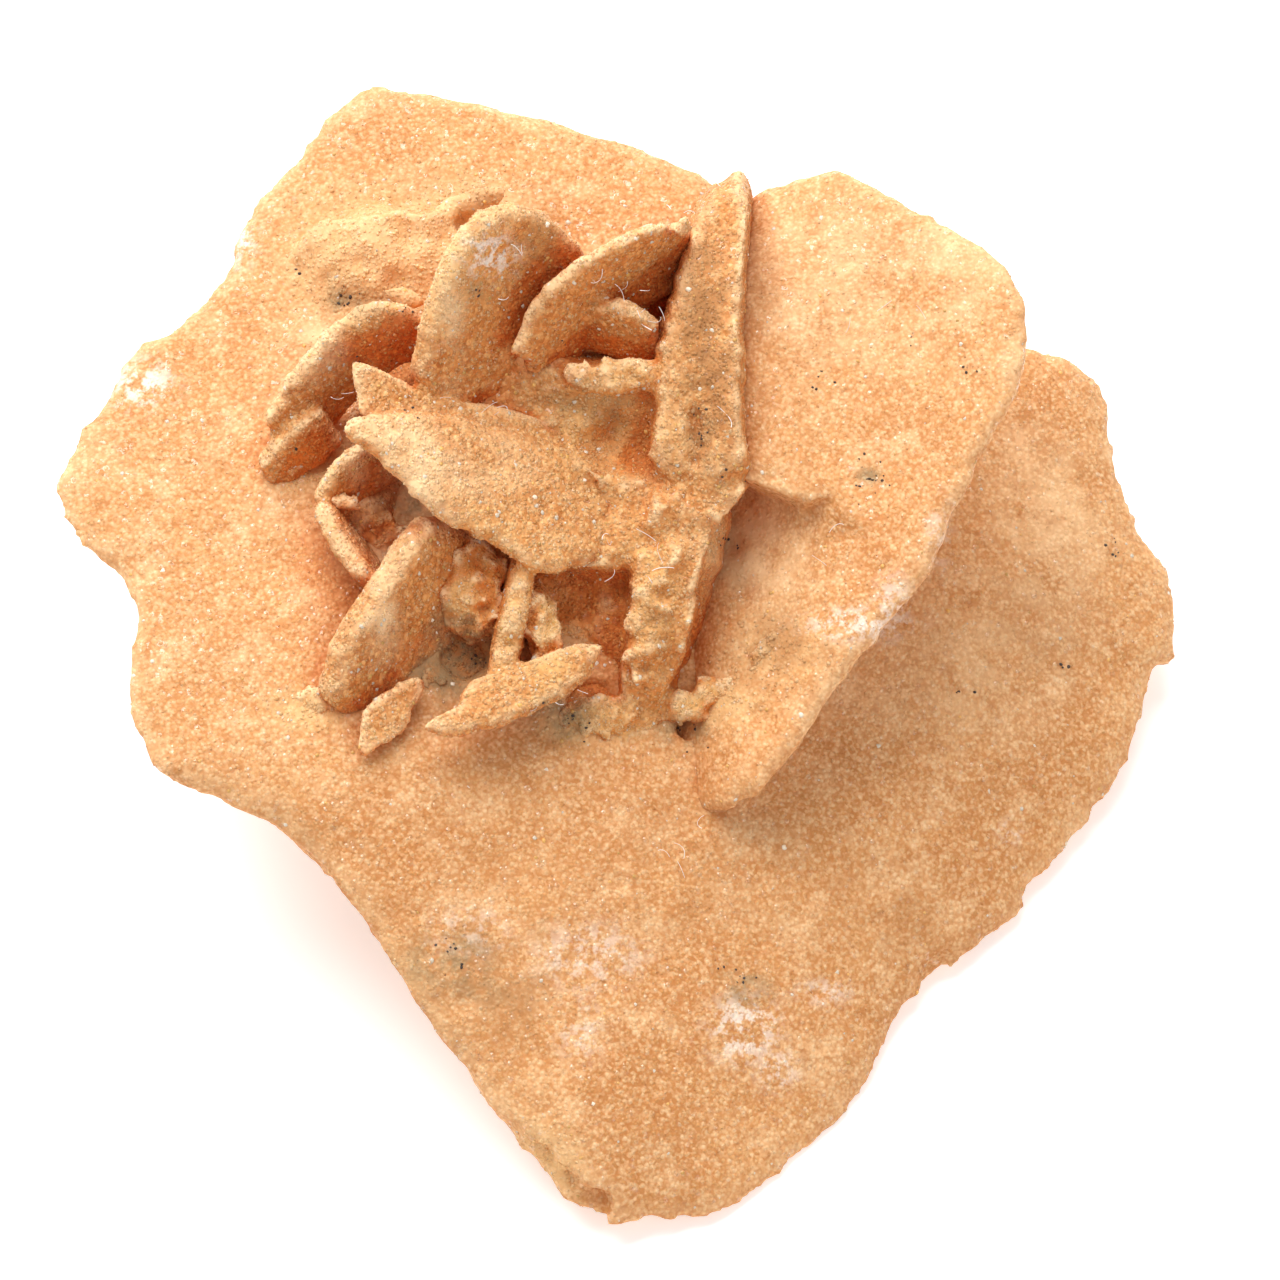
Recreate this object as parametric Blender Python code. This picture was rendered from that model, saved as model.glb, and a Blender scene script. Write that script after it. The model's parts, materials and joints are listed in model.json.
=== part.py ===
"""A gypsum sand rose: lens-shaped crystal blades grown through one another around a sandy hub.

Metres, +Z up. The rose rests on the lower rim of its main blade and on the worn foot under its raised
side, and the origin is on the table, under the middle of its bounding box.

The blades of the top are laid out in millimetres on a drawing board that leans back by LEAN degrees:
across (to the right), up (along the board) and out (square to the board, off its front). The blades
underneath are placed in millimetres over the table.
"""

import math

import bmesh
import bpy
from mathutils import Vector, noise

MM = 0.001
NAME = "sand_rose"
LEAN = math.radians(60)  # the drawing board's tilt back from upright: 90 would lay it flat
BOARD_HEIGHT = 12.8  # mm, the board's own origin over the table
RIM_POWER = 10  # how abruptly a blade's faces turn over at its rim
RING_CROWDING = 0.5  # under 1, a blade's rings of points crowd towards its rim
LUMP_SCALE = 0.35  # waves per mm in the sandy hub
FACE_SCALE = 0.16  # waves per mm in the blades' faces
ROUGH = 0.12  # mm, the faces' unevenness
RIM_ROUGH = 0.22  # mm, the rims' unevenness

# The main blade. Its upper face falls to the lower right and droops towards its upper left rim.
MAIN_LEVEL, MAIN_ACROSS, MAIN_UP = -1.9, -0.30, -0.25
MAIN_DROOP = 0.0085  # mm per mm squared, along DROOP_WAY
DROOP_WAY = (-0.75, 0.66)
MAIN_MIDDLE, MAIN_RIM = 3.7, 1.7
MAIN_OUTLINE = (
    (-15.9, 26.2), (-13.5, 27.9), (-10.5, 27.4), (-7.5, 26.9), (-4.2, 26.1), (1.0, 24.4), (4.0, 22.8),
    (8.0, 20.7), (12.0, 18.6), (16.0, 16.6), (19.5, 14.9), (22.2, 13.8), (23.6, 12.2), (23.8, 10.2),
    (24.2, 7.8), (25.2, 5.4), (26.6, 3.4), (27.0, 1.6), (26.8, -0.9), (25.8, -1.5), (25.0, -4.6),
    (23.9, -7.0), (21.0, -11.1), (19.4, -12.3), (18.8, -14.0), (14.5, -17.2), (13.0, -19.0),
    (10.5, -23.4), (8.0, -25.8), (4.2, -28.6), (0.5, -29.1), (-2.0, -29.3), (-3.5, -28.2),
    (-6.0, -25.0), (-8.5, -22.0), (-11.0, -18.5), (-14.0, -13.8), (-17.5, -10.0), (-21.0, -8.0),
    (-23.2, -7.3), (-24.6, -5.8), (-25.6, -3.0), (-25.2, 0.8), (-25.6, 2.6), (-28.5, 5.2),
    (-29.3, 7.0), (-29.0, 8.8), (-26.8, 12.2), (-25.4, 14.6), (-23.0, 16.1), (-20.6, 18.8),
    (-20.4, 20.2), (-18.6, 22.8), (-17.2, 24.4),
)
# The thinner layer under it shows as a ledge where the upper layer has chipped away.
SHELF_OUTLINE = (
    (-12.0, 24.0), (-3.0, 22.5), (8.0, 17.5), (20.0, 11.5), (22.5, 6.0), (24.3, 1.0), (22.0, -6.0),
    (17.0, -13.5), (11.5, -20.0), (7.0, -25.0), (0.5, -28.2), (-3.2, -28.4), (-5.6, -25.6),
    (-8.4, -22.2), (-11.2, -18.0), (-14.4, -13.2), (-18.0, -9.5), (-22.5, -5.5), (-23.5, 1.0),
    (-26.0, 6.5), (-22.5, 13.5), (-18.0, 20.0),
)
CHIPS = (  # where the upper layer's rim has flaked off: (across, up), half sizes, turn, depth below it
    ((-4.6, -27.0), (3.0, 1.2), -52, 0.9),
    ((15.4, -16.2), (2.4, 0.9), 42, 0.6),
    ((-21.4, 18.4), (1.9, 0.8), 55, 0.6),
)

# The second blade opens off the main one like a page: its left side lies on it, its right rim is raised.
PAGE_LEVEL, PAGE_ACROSS, PAGE_UP = -2.73, 0.51, -0.317
PAGE_MIDDLE, PAGE_RIM = 3.4, 1.9
PAGE_OUTLINE = (
    (5.4, 21.9), (7.5, 23.0), (9.5, 23.5), (11.5, 22.9), (13.2, 21.8), (15.3, 20.8), (18.1, 18.9),
    (19.0, 17.2), (19.4, 14.8), (18.9, 12.6), (17.5, 10.0), (16.1, 7.2), (15.2, 5.2), (14.3, 3.0),
    (12.5, 1.0), (11.0, -0.9), (9.5, -2.8), (8.2, -4.9), (7.1, -6.3), (5.8, -7.7), (4.2, -8.6),
    (2.9, -8.6), (2.0, -7.2), (1.6, -3.0), (1.4, 1.0), (1.6, 6.0), (2.2, 11.0), (3.2, 17.0),
)
PAGE_HOLLOW = ((5.4, 2.4), (2.8, 4.6), 0.6)  # a shallow hollow beside the upright blades


def board(across, up, out):
    """A place on the leaning board, as millimetres over the table."""
    return Vector((
        across,
        up * math.sin(LEAN) - out * math.cos(LEAN),
        up * math.cos(LEAN) + out * math.sin(LEAN) + BOARD_HEIGHT,
    ))


def main_face(across, up):
    """How far off the board the main blade's upper face is."""
    along = max(0.0, across * DROOP_WAY[0] + up * DROOP_WAY[1])
    return MAIN_LEVEL + MAIN_ACROSS * across + MAIN_UP * up - MAIN_DROOP * along * along


def page_face(across, up):
    return PAGE_LEVEL + PAGE_ACROSS * across + PAGE_UP * up


def slanted(outline, level, across_slope, up_slope):
    """Outline points lifted onto a slanting plane that is at level over the outline's middle."""
    mid_across = sum(point[0] for point in outline) / len(outline)
    mid_up = sum(point[1] for point in outline) / len(outline)
    return [
        board(across, up, level + across_slope * (across - mid_across) + up_slope * (up - mid_up))
        for across, up in outline
    ]


def curve_point(points, share):
    """A point of the closed Catmull-Rom curve through the points."""
    count = len(points)
    place = share * count
    start = int(place) % count
    t = place - int(place)
    before, first, second, after = (points[(start + step) % count] for step in (-1, 0, 1, 2))
    return 0.5 * (
        2 * first
        + (second - before) * t
        + (2 * before - 5 * first + 4 * second - after) * t * t
        + (3 * first - before - 3 * second + after) * t ** 3
    )


def outline_normal(points, towards):
    """The normal of the plane that a closed outline lies nearest to."""
    total = Vector()
    for first, second in zip(points, points[1:] + points[:1]):
        total += first.cross(second)
    return total.normalized() * (1 if total.dot(towards) >= 0 else -1)


def unevenness(place, scale, seed):
    return noise.noise(place * scale + Vector((seed * 7.3, seed * 3.1, seed * 5.7)))


def new_object(name, mesh_builder, material, collection):
    mesh = bpy.data.meshes.new(name)
    mesh_builder.to_mesh(mesh)
    mesh_builder.free()
    mesh.materials.append(material)
    solid = bpy.data.objects.new(name, mesh)
    collection.objects.link(solid)
    return solid


def blade(name, outline, middle, rim, seed, kit, turns=1, rings=8, front=(0, -0.5, 0.87), face=None):
    """A lens-shaped crystal: two faces, bulging to its middle thickness, that meet in a blunt rim.

    The outline is a closed ring of places along the blade's rim, each joined to the next by so many turns
    of the rim. Where face, the middle of the front face, is given, the outline lies on the front face too,
    and otherwise on the plane halfway through the blade.
    """
    outline = [Vector(point) for point in outline]
    normal = outline_normal(outline, Vector(front))
    centre = face or sum(outline, Vector()) / len(outline)
    shape = bmesh.new()
    bmesh.ops.create_uvsphere(shape, u_segments=turns * len(outline), v_segments=rings, radius=1)
    for vertex in shape.verts:
        reach = min(1.0, math.hypot(vertex.co.x, vertex.co.y)) ** RING_CROWDING
        share = (math.atan2(vertex.co.y, vertex.co.x) / (2 * math.pi)) % 1.0
        rim_point = curve_point(outline, share)
        lift = (rim_point - centre).dot(normal)
        flat = rim_point - centre - lift * normal
        rim_wave = RIM_ROUGH * unevenness(rim_point, 1.1, seed)
        place = centre + reach * flat + reach * reach * lift * normal
        place += reach ** 4 * rim_wave * flat.normalized() * 2
        depth = 0.5 * rim * math.sqrt(max(0.0, 1 - reach ** RIM_POWER))
        depth += 0.5 * (middle - rim) * (1 - reach * reach)
        wave = ROUGH * unevenness(place, FACE_SCALE, seed + 11) * 2
        side = 0 if abs(vertex.co.z) < 1e-6 else math.copysign(1, vertex.co.z)
        place += normal * (side * depth + wave)
        if face:
            place -= normal * 0.5 * middle
        vertex.co = place * MM
    if shape.calc_volume(signed=True) < 0:
        bmesh.ops.reverse_faces(shape, faces=shape.faces)
    return new_object(name, shape, kit["material"], kit["pieces"])


def disc_outline(centre, normal, wide, tall, seed, points=14):
    """A rounded, slightly angular outline around a centre, for a blade placed over the table."""
    level = normal.cross(Vector((0, 0, 1))).normalized()
    slope = level.cross(normal)
    ring = []
    for index in range(points):
        angle = 2 * math.pi * index / points
        swell = 1 + 0.09 * math.sin(3 * angle + seed) + 0.06 * math.sin(5 * angle + 2.3 * seed)
        ring.append(
            centre + swell * (wide * math.cos(angle) * level + tall * math.sin(angle) * slope)
        )
    return ring


def lump(name, centre, size, seed, kit, turn=0.0, coarse=2, rough=0.5):
    """A rounded, knobbly mass of cemented sand, its size given along the board's three directions."""
    shape = bmesh.new()
    bmesh.ops.create_icosphere(shape, subdivisions=coarse, radius=1)
    for vertex in shape.verts:
        across, up, out = vertex.co
        knob = 1 + rough * unevenness(vertex.co * max(size), LUMP_SCALE, seed)
        across, up = (
            across * size[0] * math.cos(turn) - up * size[1] * math.sin(turn),
            across * size[0] * math.sin(turn) + up * size[1] * math.cos(turn),
        )
        vertex.co = board(
            centre[0] + across * knob, centre[1] + up * knob, centre[2] + out * size[2] * knob
        ) * MM
    return new_object(name, shape, kit["material"], kit["pieces"])


def cutter(name, centre, size, kit, turn=0.0):
    """A rounded scoop that a pit, a hollow or a chip is cut with."""
    scoop = lump(name, centre, size, 3, kit, turn=turn, rough=0.35)
    kit["pieces"].objects.unlink(scoop)
    kit["cutters"].objects.link(scoop)
    return scoop


def faced_blade(name, outline, face_height, depth, middle, rim, seed, kit, **fineness):
    """A blade whose front face is at face_height(across, up) less depth, off the board."""
    ring = [board(across, up, face_height(across, up) - depth) for across, up in outline]
    across, up = (sum(values) / len(outline) for values in zip(*outline))
    peak = board(across, up, face_height(across, up) - depth)
    return blade(name, ring, middle, rim, seed, kit, face=peak, **fineness)


def main_blade(kit):
    upper = faced_blade("main_upper_layer", MAIN_OUTLINE, main_face, 0, MAIN_MIDDLE, MAIN_RIM, 1, kit)
    lower = faced_blade("main_lower_layer", SHELF_OUTLINE, main_face, 1.2, 3.4, 1.5, 2, kit, rings=6)
    return [upper, lower]


def page_blade(kit):
    page = faced_blade(
        "page_blade", PAGE_OUTLINE, page_face, 0, PAGE_MIDDLE, PAGE_RIM, 3, kit, turns=2, rings=6
    )
    return [page]


def upright_blades(kit):
    """The tall ridge: two blunt blades on edge, end to end."""
    tall = [
        board(4.9, 22.7, -1.2), board(4.2, 19.5, 0.9), board(3.8, 16.0, 1.7), board(3.3, 12.0, 2.0),
        board(2.9, 8.5, 1.7), board(2.6, 6.6, 0.5), board(2.8, 6.5, -4.0), board(3.6, 12.0, -9.0),
        board(4.4, 18.0, -10.0), board(4.9, 21.5, -9.5),
    ]
    low = [
        board(3.0, 8.6, 0.2), board(2.3, 6.4, 1.3), board(1.5, 3.0, 1.6), board(0.8, 0.0, 1.5),
        board(0.2, -3.0, 1.2), board(-0.3, -5.4, 0.6), board(-0.3, -5.6, -1.5), board(0.6, -1.0, -4.5),
        board(2.0, 5.0, -6.0), board(2.8, 8.0, -6.0),
    ]
    side = (1, 0.15, 0)
    return [
        blade("tall_upright", tall, 4.8, 3.2, 4, kit, turns=2, front=side),
        blade("low_upright", low, 3.8, 2.8, 5, kit, turns=2, front=side),
    ]


# The petals around the hub, on the board: outline, height of its middle, slopes across and up,
# thickness in its middle and at its rim. A petal's raised rim is the one its slopes climb to.
PETALS = {
    "great_petal": ((
        (-11.3, 12.8), (-10.9, 15.0), (-10.5, 17.0), (-9.5, 19.5), (-8.0, 21.2), (-6.4, 21.8),
        (-4.7, 21.2), (-3.0, 19.6), (-2.8, 17.6), (-3.6, 15.2), (-5.4, 12.0), (-7.5, 10.4),
        (-9.8, 10.6),
    ), 1.2, -0.62, 0.50, 3.0, 2.0),
    "long_petal": ((
        (-6.1, 13.4), (-5.8, 14.8), (-4.7, 17.1), (-3.0, 18.5), (-1.0, 19.7), (1.2, 20.8),
        (2.8, 20.2), (3.0, 18.4), (2.0, 16.4), (0.0, 14.8), (-2.0, 13.9), (-4.0, 13.0),
    ), 0.7, -0.53, 0.66, 2.4, 1.8),
    "small_petal": ((
        (-2.9, 16.2), (-1.5, 16.9), (0.0, 16.8), (1.1, 15.8), (1.4, 14.2), (0.0, 13.2),
        (-2.0, 13.4), (-3.4, 14.4),
    ), -0.3, -0.15, 0.50, 2.0, 1.3),
    "brow_petal": ((
        (-3.4, 13.0), (-2.5, 13.7), (-0.8, 13.9), (0.8, 13.6), (1.0, 12.2), (0.4, 10.4),
        (-1.2, 9.6), (-2.6, 10.8),
    ), 0.3, 0.0, 0.70, 2.0, 1.4),
    "shelf_petal": ((
        (-14.7, 10.4), (-14.2, 11.1), (-12.6, 11.4), (-10.0, 11.1), (-7.0, 10.6), (-4.0, 9.6),
        (-1.0, 7.2), (-0.6, 4.4), (-2.4, 3.4), (-5.0, 3.4), (-6.6, 3.9), (-8.6, 4.7),
        (-10.5, 5.9), (-12.0, 7.4), (-13.6, 9.2),
    ), 2.6, -0.46, -0.40, 2.2, 1.7),
    "under_shelf_petal": ((
        (-14.4, 13.8), (-13.4, 13.6), (-12.0, 12.9), (-10.0, 12.1), (-7.0, 11.6), (-4.0, 10.5),
        (-2.0, 8.5), (-5.0, 8.0), (-10.0, 9.4), (-13.4, 10.8), (-14.2, 12.2),
    ), 1.4, -0.40, -0.30, 1.7, 1.2),
    "left_petal": ((
        (-18.6, 11.5), (-18.0, 12.5), (-17.0, 13.6), (-16.0, 14.8), (-14.5, 16.0), (-12.5, 16.8),
        (-11.1, 16.7), (-10.8, 15.4), (-11.4, 13.4), (-13.0, 11.4), (-15.0, 10.0), (-17.0, 10.1),
    ), -1.0, -0.49, 0.69, 2.3, 1.5),
    "low_left_petal": ((
        (-19.1, 8.4), (-18.9, 9.6), (-17.8, 10.8), (-16.5, 11.6), (-15.3, 11.6), (-14.8, 10.4),
        (-16.0, 8.8), (-17.5, 8.0),
    ), -1.3, -0.40, 0.60, 1.8, 1.3),
    "tucked_petal": ((
        (-14.2, 9.9), (-15.0, 9.2), (-15.7, 8.3), (-16.1, 7.0), (-15.2, 6.6), (-13.4, 6.9),
        (-12.0, 7.6), (-12.4, 9.2),
    ), -0.2, -0.60, 0.50, 1.4, 1.0),
    "thick_petal": ((
        (-10.2, 6.1), (-8.8, 5.8), (-8.7, 4.0), (-9.1, 2.0), (-9.6, 0.0), (-11.9, -2.5),
        (-13.5, -3.3), (-15.4, -3.8), (-15.9, -3.2), (-15.6, -1.5), (-15.2, 0.0), (-14.4, 1.4),
        (-12.7, 3.5), (-11.7, 5.0), (-11.0, 5.9),
    ), 2.2, -0.77, 0.45, 2.9, 2.1),
    "flake": ((
        (-11.5, -1.7), (-10.7, -2.0), (-10.9, -2.9), (-11.7, -4.3), (-13.1, -5.5), (-14.0, -5.6),
        (-13.7, -3.3), (-12.8, -2.5),
    ), 2.3, -0.10, 0.10, 1.6, 1.2),
    "crescent_petal": ((
        (-10.7, -4.3), (-9.9, -3.8), (-9.2, -3.4), (-8.9, -2.5), (-8.1, -1.9), (-7.0, -1.5),
        (-5.0, -0.9), (-3.9, -0.4), (-2.0, -0.2), (-2.0, -0.8), (-2.6, -1.9), (-3.8, -2.8),
        (-5.5, -3.7), (-8.0, -4.5), (-9.8, -4.7),
    ), 2.8, -0.05, -0.40, 2.0, 1.5),
}


def petals(kit):
    made = []
    for seed, (name, (outline, level, across_slope, up_slope, middle, rim)) in enumerate(PETALS.items()):
        places = slanted(outline, level, across_slope, up_slope)
        turns = 2 if middle >= 2.2 and len(outline) > 12 else 1
        made.append(blade(name, places, middle, rim, 20 + seed, kit, turns=turns, rings=6))
    return made


def thin_sheets(kit):
    """Two thin blades that stand on edge between the petals."""
    knife = [
        board(-16.1, 6.6, 0.4), board(-15.5, 5.4, 1.7), board(-14.3, 3.8, 2.3), board(-13.0, 2.3, 1.9),
        board(-12.4, 1.6, 0.0), board(-13.4, 3.0, -2.6), board(-15.0, 5.0, -2.8), board(-16.0, 6.4, -2.2),
    ]
    strut = [
        board(-5.9, 4.6, 1.0), board(-6.0, 3.5, 2.3), board(-6.3, 1.5, 2.9), board(-6.7, -0.8, 2.9),
        board(-7.0, -2.2, 2.6), board(-7.1, -2.8, 0.4), board(-6.8, 0.0, -2.5), board(-6.2, 3.0, -3.0),
    ]
    return [
        blade("knife_sheet", knife, 1.1, 0.8, 6, kit, turns=2, rings=6, front=(1, 0.6, 0)),
        blade("strut_sheet", strut, 1.5, 1.1, 7, kit, turns=2, rings=6, front=(1, 0.2, 0)),
    ]


# Masses of cemented sand on the board: middle, half sizes across, up and out, and turn in degrees.
SAND = {
    "hub": ((-2.0, 8.4, -3.0), (6.6, 6.4, 4.0), 20),
    "hub_right": ((2.2, 6.0, -3.0), (4.4, 6.0, 3.3), 0),
    "hub_front": ((-1.2, 6.2, -1.6), (3.4, 3.8, 3.1), 15),
    "hub_left": ((-7.0, 8.5, -2.6), (5.0, 4.0, 2.8), 0),
    "hub_top": ((-1.5, 14.0, -4.6), (5.0, 4.2, 3.6), 0),
    "fill_between_petals": ((-8.0, 2.4, 0.0), (2.2, 2.9, 1.9), 10),
    "crumb_beside_sheet": ((-4.8, 0.0, 0.2), (1.1, 2.5, 1.6), 12),
    "crumb_under_crescent": ((-3.2, -3.9, 0.4), (2.4, 1.3, 1.3), 10),
    "sand_under_shelf": ((-12.4, 6.2, -0.9), (2.5, 1.7, 1.6), -20),
    "crumb_below_thick_petal": ((-16.0, -3.8, 2.4), (1.5, 0.8, 1.0), 20),
    "page_crumb_high": ((6.6, -0.2, 0.2), (2.2, 0.7, 0.9), 38),
    "page_crumb_low": ((3.2, -3.1, 0.0), (2.2, 0.9, 1.1), 14),
    "sand_behind_petals": ((-12.2, 13.2, -5.3), (3.8, 3.4, 3.3), 0),
    "sand_behind_crescent": ((-8.6, -2.9, 1.3), (2.8, 1.3, 1.5), 15),
    "rough_patch_ridge": ((-9.0, 21.8, -8.0), (2.6, 1.2, 1.4), 12),
    "rough_patch": ((-12.3, 18.6, -7.5), (4.4, 3.0, 1.7), 15),
}


def sand(kit):
    made = []
    for seed, (name, (middle, size, turn)) in enumerate(SAND.items()):
        coarse = 3 if max(size) > 6 else 2
        made.append(lump(name, middle, size, 40 + seed, kit, turn=math.radians(turn), coarse=coarse))
    return made


# The rosette underneath: overlapping blades that lean out all round a core of sand, down to the table.
CORE = (-8.0, 7.0)  # mm, the core's axis over the table
SKIRT = {  # turn round the core, distance out, height of its middle, lean from upright, twist, half
    # sizes along and down its slope, thickness in its middle and at its rim; angles in degrees
    "under_right": (12, 6.6, 3.6, 34, 30, 5.8, 5.4, 2.4, 1.5),
    "under_back_right": (58, 8.0, 4.6, 26, -42, 5.6, 6.2, 2.3, 1.4),
    "under_back": (104, 8.4, 5.2, 40, 24, 6.2, 5.6, 2.5, 1.5),
    "under_corner": (148, 9.2, 5.6, 22, 56, 5.2, 6.4, 2.2, 1.4),
    "under_left": (190, 9.2, 5.4, 38, -20, 6.0, 6.2, 2.5, 1.5),
    "under_front_left": (232, 8.6, 5.0, 20, 48, 5.4, 6.0, 2.2, 1.4),
    "under_front": (280, 7.6, 3.6, 36, -26, 6.0, 4.8, 2.4, 1.4),
    "under_front_right": (326, 6.8, 3.0, 24, 50, 5.0, 4.4, 2.1, 1.3),
}


def underside(kit):
    made = []
    for seed, (name, measures) in enumerate(SKIRT.items()):
        turn, away, height, lean, twist, wide, tall, thick, rim = measures
        turn, lean, facing = math.radians(turn), math.radians(lean), math.radians(turn + twist)
        outward = Vector((math.cos(turn), math.sin(turn), 0))
        normal = Vector((math.cos(facing), math.sin(facing), math.tan(lean))).normalized()
        middle = Vector((*CORE, height)) + outward * away
        ring = disc_outline(middle, normal, wide, tall, seed + 1)
        made.append(blade(name, ring, thick, rim, 60 + seed, kit, rings=6, front=normal))
    up, out = CORE[1] * math.sin(LEAN), -CORE[1] * math.cos(LEAN)
    drop = 9.2  # mm, the core's middle below the board's origin
    core = (CORE[0], up - drop * math.cos(LEAN), out - drop * math.sin(LEAN))
    made.append(lump("under_core", core, (7.0, 6.6, 6.4), 70, kit, rough=0.3))
    return made


def pits(kit):
    """Chips out of the main blade's rim, the hollow of the page blade, and two dark holes."""
    made = []
    for number, ((across, up), (along, wide), turn, depth) in enumerate(CHIPS):
        out = main_face(across, up) - 0.5 * (MAIN_MIDDLE - MAIN_RIM) - depth + 1.5
        scoop = cutter(f"chip_{number}", (across, up, out), (along, wide, 1.5), kit, math.radians(turn))
        made.append(scoop)
    (across, up), (wide, tall), depth = PAGE_HOLLOW
    out = page_face(across, up) - depth + 2.0
    made.append(cutter("page_hollow", (across, up, out), (wide, tall, 2.0), kit, turn=math.radians(-14)))
    made.append(cutter("hole_by_ridge", (1.9, -4.4, 0.4), (0.9, 0.5, 1.6), kit, turn=math.radians(10)))
    made.append(cutter("hole_in_ridge", (2.8, 9.9, 2.4), (0.5, 0.9, 0.9), kit))
    return made


def stone_material():
    material = bpy.data.materials.new("sandy_gypsum")
    material.use_nodes = True
    shader = material.node_tree.nodes["Principled BSDF"]
    shader.inputs["Base Color"].default_value = (0.66, 0.34, 0.15, 1.0)
    shader.inputs["Roughness"].default_value = 0.85
    shader.inputs["Metallic"].default_value = 0.0
    return material


def table_cutter(kit):
    """A block whose top is the table, which trims the foot and the lowest rim flat."""
    shape = bmesh.new()
    bmesh.ops.create_cube(shape, size=1)
    bmesh.ops.scale(shape, vec=(0.2, 0.2, 0.04), verts=shape.verts)
    bmesh.ops.translate(shape, vec=(0, 0, -0.02), verts=shape.verts)
    return new_object("table", shape, kit["material"], kit["cutters"])


def centre_offset(pieces):
    """The middle of the pieces' bounding box, level with the table."""
    corners = [vertex.co for piece in pieces for vertex in piece.data.vertices]
    return Vector((
        (min(c.x for c in corners) + max(c.x for c in corners)) / 2,
        (min(c.y for c in corners) + max(c.y for c in corners)) / 2,
        0.0,
    ))


def fuse(pieces, cuts, kit):
    """One solid: the first piece joined with the others, less the cuts."""
    body = pieces[0]
    kit["pieces"].objects.unlink(body)
    kit["object"].objects.link(body)
    body.name = NAME
    for helper in pieces[1:] + cuts:
        helper.hide_render = True
        helper.display_type = "WIRE"
    for operation, helpers in (("UNION", kit["pieces"]), ("DIFFERENCE", kit["cutters"])):
        step = body.modifiers.new(operation.lower(), "BOOLEAN")
        step.operation = operation
        step.solver = "EXACT"
        step.operand_type = "COLLECTION"
        step.collection = helpers
    return body


def main():
    for old in list(bpy.data.objects):
        bpy.data.objects.remove(old, do_unlink=True)
    kit = {"material": stone_material()}
    for key, title in (("object", "sand rose"), ("pieces", "blades before joining"), ("cutters", "cutters")):
        kit[key] = bpy.data.collections.new(title)
        bpy.context.scene.collection.children.link(kit[key])
    pieces = main_blade(kit) + page_blade(kit) + upright_blades(kit)
    pieces += petals(kit) + thin_sheets(kit) + sand(kit) + underside(kit)
    cuts = pits(kit)
    offset = centre_offset(pieces)
    for shape in pieces + cuts:
        shape.data.transform(shape.matrix_basis.Translation(-offset))
    fuse(pieces, cuts + [table_cutter(kit)], kit)


main()
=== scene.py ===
"""The looks of a gypsum sand rose: blades full of sand, whitish rims partly worn and partly painted
highlight, painted shade in its hollows, loose grains, crumbs and lint.

Shapes are worked out in millimetres and brought to metres when they are finished. The blades of the top
are laid out on a board that leans back: across (to the right), up (along the board) and out (square to
the board, off its front), in step with the solids that they stand for.
"""

import json
import math
import random

import bmesh
import bpy
import numpy as np
from mathutils import Matrix, Vector, noise
from mathutils.bvhtree import BVHTree
from mathutils.kdtree import KDTree

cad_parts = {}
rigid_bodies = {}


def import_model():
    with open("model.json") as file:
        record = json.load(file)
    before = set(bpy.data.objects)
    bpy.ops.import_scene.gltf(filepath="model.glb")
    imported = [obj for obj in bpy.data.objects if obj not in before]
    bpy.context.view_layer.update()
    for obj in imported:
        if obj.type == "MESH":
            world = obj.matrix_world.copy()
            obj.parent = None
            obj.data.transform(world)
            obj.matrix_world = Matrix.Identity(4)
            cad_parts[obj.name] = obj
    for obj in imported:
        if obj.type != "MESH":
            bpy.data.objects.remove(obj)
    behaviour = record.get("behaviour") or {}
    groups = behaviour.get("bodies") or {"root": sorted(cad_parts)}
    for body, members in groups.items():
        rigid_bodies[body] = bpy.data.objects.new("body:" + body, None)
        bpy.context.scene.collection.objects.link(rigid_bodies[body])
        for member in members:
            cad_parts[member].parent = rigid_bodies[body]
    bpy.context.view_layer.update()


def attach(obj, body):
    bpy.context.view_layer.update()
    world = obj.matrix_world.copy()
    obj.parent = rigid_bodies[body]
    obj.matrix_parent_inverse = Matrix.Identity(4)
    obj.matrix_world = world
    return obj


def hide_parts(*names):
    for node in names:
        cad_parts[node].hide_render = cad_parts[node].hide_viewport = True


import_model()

MM = 0.001
LEAN = math.radians(60)  # the board's tilt back from upright
BOARD_HEIGHT = 12.8  # mm, the board's own origin over the table
OFFSET = Vector((-1.579, 1.153, 0.0))  # mm, what the solids were moved by to stand centred
OUTWARD = Vector((0, -math.cos(LEAN), math.sin(LEAN)))  # square to the board, off its front
LIGHT_WAY = Vector((-0.19, 0.55, 0.81))  # the way the lamp's light comes from: faces turned from it get painted shade
RIM_POWER = 14  # how abruptly a blade's faces turn over at its rim
RING_CROWDING = 0.5  # under 1, a blade's rings of points crowd towards its rim

# Looks in many ways, from some points of each piece, tell how shut in its places are, for painted shade.
LOOKS, MOST_LOOKED_FROM = 22, 9000
LOOK_LIFT, LOOK_REACH = 0.3, 7.0  # mm, where a look starts over the surface, and how far it sees
LOOK_FADE = 9.0  # mm, how far off a thing would no longer shut a place in

FLOOR_HALF = 1.5  # m, half the side of the floor
EYE_DISTANCE = 2.0  # m, from the middle of the rose
VIEW_WIDTH = 0.064  # m, what the lens takes in at that distance

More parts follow.
